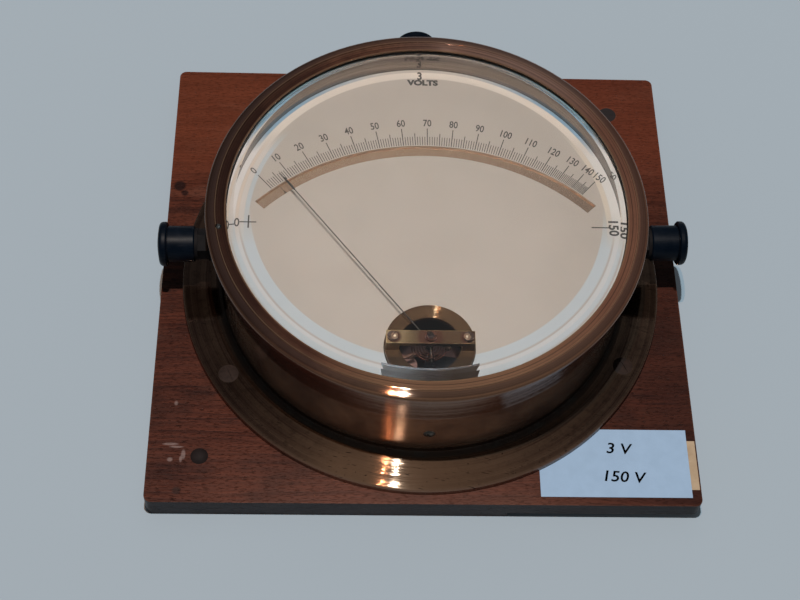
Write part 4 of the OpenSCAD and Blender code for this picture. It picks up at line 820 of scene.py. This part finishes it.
def print_dial():
    """Ticks, figures and signs in black ink on the dial."""
    ink = matt_finish("printing ink", (0.030, 0.026, 0.024), (0.018, 0.016, 0.015), roughness=0.6)
    shape = bmesh.new()
    for value in range(151):
        outer, wide = 0.1018, 0.00027
        if value % 10 == 0:
            outer, wide = 0.1062, 0.00036
        elif value % 5 == 0:
            outer, wide = 0.1036, 0.00032
        add_bar(shape, outer - SCALE_FOOT, wide, INK, at(PIVOT, SCALE_FOOT, scale_angle(value), DIAL_TOP))
    level = DIAL_TOP + INK
    for value in range(0, 151, 10):
        angle = scale_angle(value)
        add_words(shape, str(value), 0.0036, 0.74, at(PIVOT, 0.1089, angle, level, angle - 90))
    x, y = CASE
    side = Matrix.Rotation(math.radians(-90), 4, "Z")
    add_words(shape, "VOLTS", 0.0028, 1.12, Matrix.Translation((x - 0.0002, y + 0.0722, level)), bold=0.085)
    add_words(shape, "3", 0.0042, 0.8, Matrix.Translation((x - 0.0015, y + 0.0758, level)), bold=0.045)
    add_words(shape, "150", 0.0040, 1.0, Matrix.Translation((x + 0.0760, y - 0.0016, level)) @ side, bold=0.045)
    add_words(shape, "0", 0.0042, 0.8, Matrix.Translation((x - 0.0763, y - 0.0019, level)))
    add_bar(shape, 0.0068, 0.0005, INK, Matrix.Translation((x - 0.0752, y - 0.0014, DIAL_TOP)))
    add_bar(shape, 0.0062, 0.0006, INK, at((x - 0.0716, y - 0.0043), 0.0, 90, DIAL_TOP))
    add_bar(shape, 0.0072, 0.0005, INK, Matrix.Translation((x + 0.0672, y - 0.0017, DIAL_TOP)))
    piece("dial_printing", shape, ink)


def write_label():
    """Handwritten figures of the two ranges on the paper label."""
    ink = matt_finish("writing ink", (0.035, 0.045, 0.085), (0.02, 0.025, 0.05), roughness=0.6)
    shape = bmesh.new()
    low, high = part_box("paper_label")
    middle = ((low.x + high.x) / 2 + 0.002, (low.y + high.y) / 2)
    slant = Matrix.Rotation(math.radians(-3), 4, "Z")
    for text, dx, dy in (("3 V", 0.0, 0.0062), ("150 V", 0.001, -0.0062)):
        spot = Matrix.Translation((middle[0] + dx, middle[1] + dy, high.z)) @ slant
        add_words(shape, text, 0.0048, 1.1, spot, shear=0.15)
    piece("label_writing", shape, ink)


def make_needle(material):
    """The pointer as a drawn wire with a blade on edge over the mirror and a hair tip."""
    shape = bmesh.new()
    turn = Matrix.Rotation(math.radians(NEEDLE_TURN), 4, "Z")
    height = BOARD_TOP + NEEDLE_RISE * MM

    def length(start, end, radius, tip, flat=1.0):
        """A stretch of needle between two distances from the pivot, flat times as high as it is wide."""
        place = Matrix.Translation((*PIVOT, height)) @ turn @ Matrix.Translation(((start + end) / 2 * MM, 0, 0))
        lie = Matrix.Rotation(math.radians(90), 4, "Y")
        bmesh.ops.create_cone(shape, cap_ends=True, segments=16, radius1=radius * MM, radius2=tip * MM,
                              depth=(end - start) * MM, matrix=place @ Matrix.Diagonal((1, 1, flat, 1)) @ lie)

    length(1.6, 88.5, 0.25, 0.20)
    length(88.3, 89.6, 0.20, 0.44, flat=1.25)
    length(89.6, 95.6, 0.44, 0.44, flat=1.25)
    length(95.6, 96.6, 0.44, 0.13, flat=1.25)
    length(96.5, 100.2, 0.15, 0.07)
    bmesh.ops.recalc_face_normals(shape, faces=shape.faces)
    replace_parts(piece("pointer_needle", shape, material, "moving_system", sharp=40), "pointer")


def spun(name, outline, material, node, sharp=30):
    """A ring turned from a closed outline of radii and heights about the case's axis, in place of a node."""
    shape = bmesh.new()
    corners = [shape.verts.new((CASE[0] + r * MM, CASE[1], BOARD_TOP + z * MM)) for r, z in outline]
    sides = [shape.edges.new((a, b)) for a, b in zip(corners, corners[1:] + corners[:1])]
    bmesh.ops.spin(shape, geom=corners + sides, cent=(*CASE, 0.0), axis=(0, 0, 1), angle=2 * math.pi,
                   steps=256, use_merge=True, use_duplicate=False)
    bmesh.ops.remove_doubles(shape, verts=shape.verts, dist=1e-7)
    bmesh.ops.recalc_face_normals(shape, faces=shape.faces)
    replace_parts(piece(name, shape, material, sharp=sharp), node)


# Stage

def make_camera():
    """The photograph's camera, found from the board's corners and the rims."""
    lens = bpy.data.cameras.new("camera")
    lens.lens = 68.0
    lens.sensor_width = 36.0
    lens.sensor_fit = "HORIZONTAL"
    lens.clip_start = 0.01
    holder = bpy.data.objects.new("camera", lens)
    bpy.context.scene.collection.objects.link(holder)
    right = Vector((0.99924, -0.00815, 0.03805)).normalized()
    ahead = Vector((0.03666, 0.52531, -0.85012)).normalized()
    up = right.cross(ahead)
    turn = Matrix((right, up, -ahead)).transposed().to_4x4()
    holder.matrix_world = Matrix.Translation((-0.032525, -0.351386, 0.555995)) @ turn
    bpy.context.scene.camera = holder


def add_lamp(name, place, power, colour):
    """A small square lamp that shines straight down."""
    light = bpy.data.lights.new(name, "AREA")
    light.shape = "RECTANGLE"
    light.size = light.size_y = LAMP_SIZE
    light.energy = power
    light.color = colour
    holder = bpy.data.objects.new(name, light)
    bpy.context.scene.collection.objects.link(holder)
    holder.matrix_world = Matrix.Translation(place)


def make_stage():
    """Pale paper floor, a soft glow from above and behind, and two lamps side by side."""
    scene = bpy.context.scene
    scene.view_settings.view_transform = "Standard"
    world = bpy.data.worlds.new("studio")
    scene.world = world
    world.use_nodes = True
    tree = world.node_tree
    seen = (0.352, 0.407, 0.440, 1.0)
    place = put(tree, "TexCoord").outputs["Generated"]
    strength = 0.07
    for aim, start, end, extra in (((0.0, 0.52, 0.854), 0.80, 0.97, 0.10), ((0.0, 0.682, 0.731), 0.977, 0.994, 0.17)):
        glow = rescale(tree, vector(tree, "DOT_PRODUCT", place, aim), start, end)
        strength = number(tree, "ADD", strength, times(tree, glow, extra))
    join(tree, blend(tree, glow, (0.92, 0.96, 1.0), (1.0, 0.92, 0.83)), tree.nodes["Background"].inputs[0])
    join(tree, strength, tree.nodes["Background"].inputs[1])
    plain = put(tree, "Background", Color=seen, Strength=1.0)
    rays = put(tree, "LightPath")
    which = put(tree, "MixShader")
    join(tree, rays.outputs["Is Camera Ray"], which.inputs[0])
    join(tree, tree.nodes["Background"].outputs[0], which.inputs[1])
    join(tree, plain.outputs[0], which.inputs[2])
    join(tree, which.outputs[0], tree.nodes["World Output"].inputs[0])

    shape = bmesh.new()
    bmesh.ops.create_grid(shape, x_segments=1, y_segments=1, size=3.0)
    mesh = mesh_from("floor", shape)
    floor = bpy.data.objects.new("floor", mesh)
    scene.collection.objects.link(floor)
    material, tree, shader = finish("floor paper", roughness=0.9, Emission_Color=seen)
    faint = use(tree, PATCHES, Size=0.3, From=0.2, To=0.8)
    join(tree, blend(tree, faint["Mask"], (0.375, 0.465, 0.545), (0.382, 0.472, 0.552)), shader["Base Color"])
    away = use(tree, TURNED, Axis=(LAMP[0], LAMP[1], 0.0))["Radius"]
    far = number(tree, "DIVIDE", times(tree, away, away), LAMP[2] ** 2)
    lit = number(tree, "DIVIDE", 1.0, number(tree, "POWER", number(tree, "ADD", far, 1.0), 2.0))
    rays = put(tree, "LightPath")
    join(tree, times(tree, number(tree, "SUBTRACT", 1.0, lit), rays.outputs["Is Camera Ray"]),
         shader["Emission Strength"])
    mesh.materials.append(material)

    x, y, z = LAMP
    add_lamp("key lamp", (x, y, z), 6.3, (0.89, 0.98, 1.0))
    add_lamp("warm lamp", (x - WARM_ASIDE, y, z), 2.8, (1.0, 0.53, 0.29))


make_camera()
make_stage()
dress_cad()
print_dial()
write_label()
make_needle(bpy.data.materials["needle black"])
spun("silvered_wall", [(79.5, 41.5), (80.0, 41.5), (80.0, 51.0), (83.8, 51.0), (83.8, 51.5), (79.5, 51.5)],
     bpy.data.materials["silvered ring"], "reflector_ring")
spun("bevelled_glass", [(0.0, 51.9), (81.9, 51.9), (81.9, 52.2), (80.2, 52.2), (77.0, 54.1), (0.0, 54.1)],
     bpy.data.materials["window glass"], "window_glass", sharp=5)
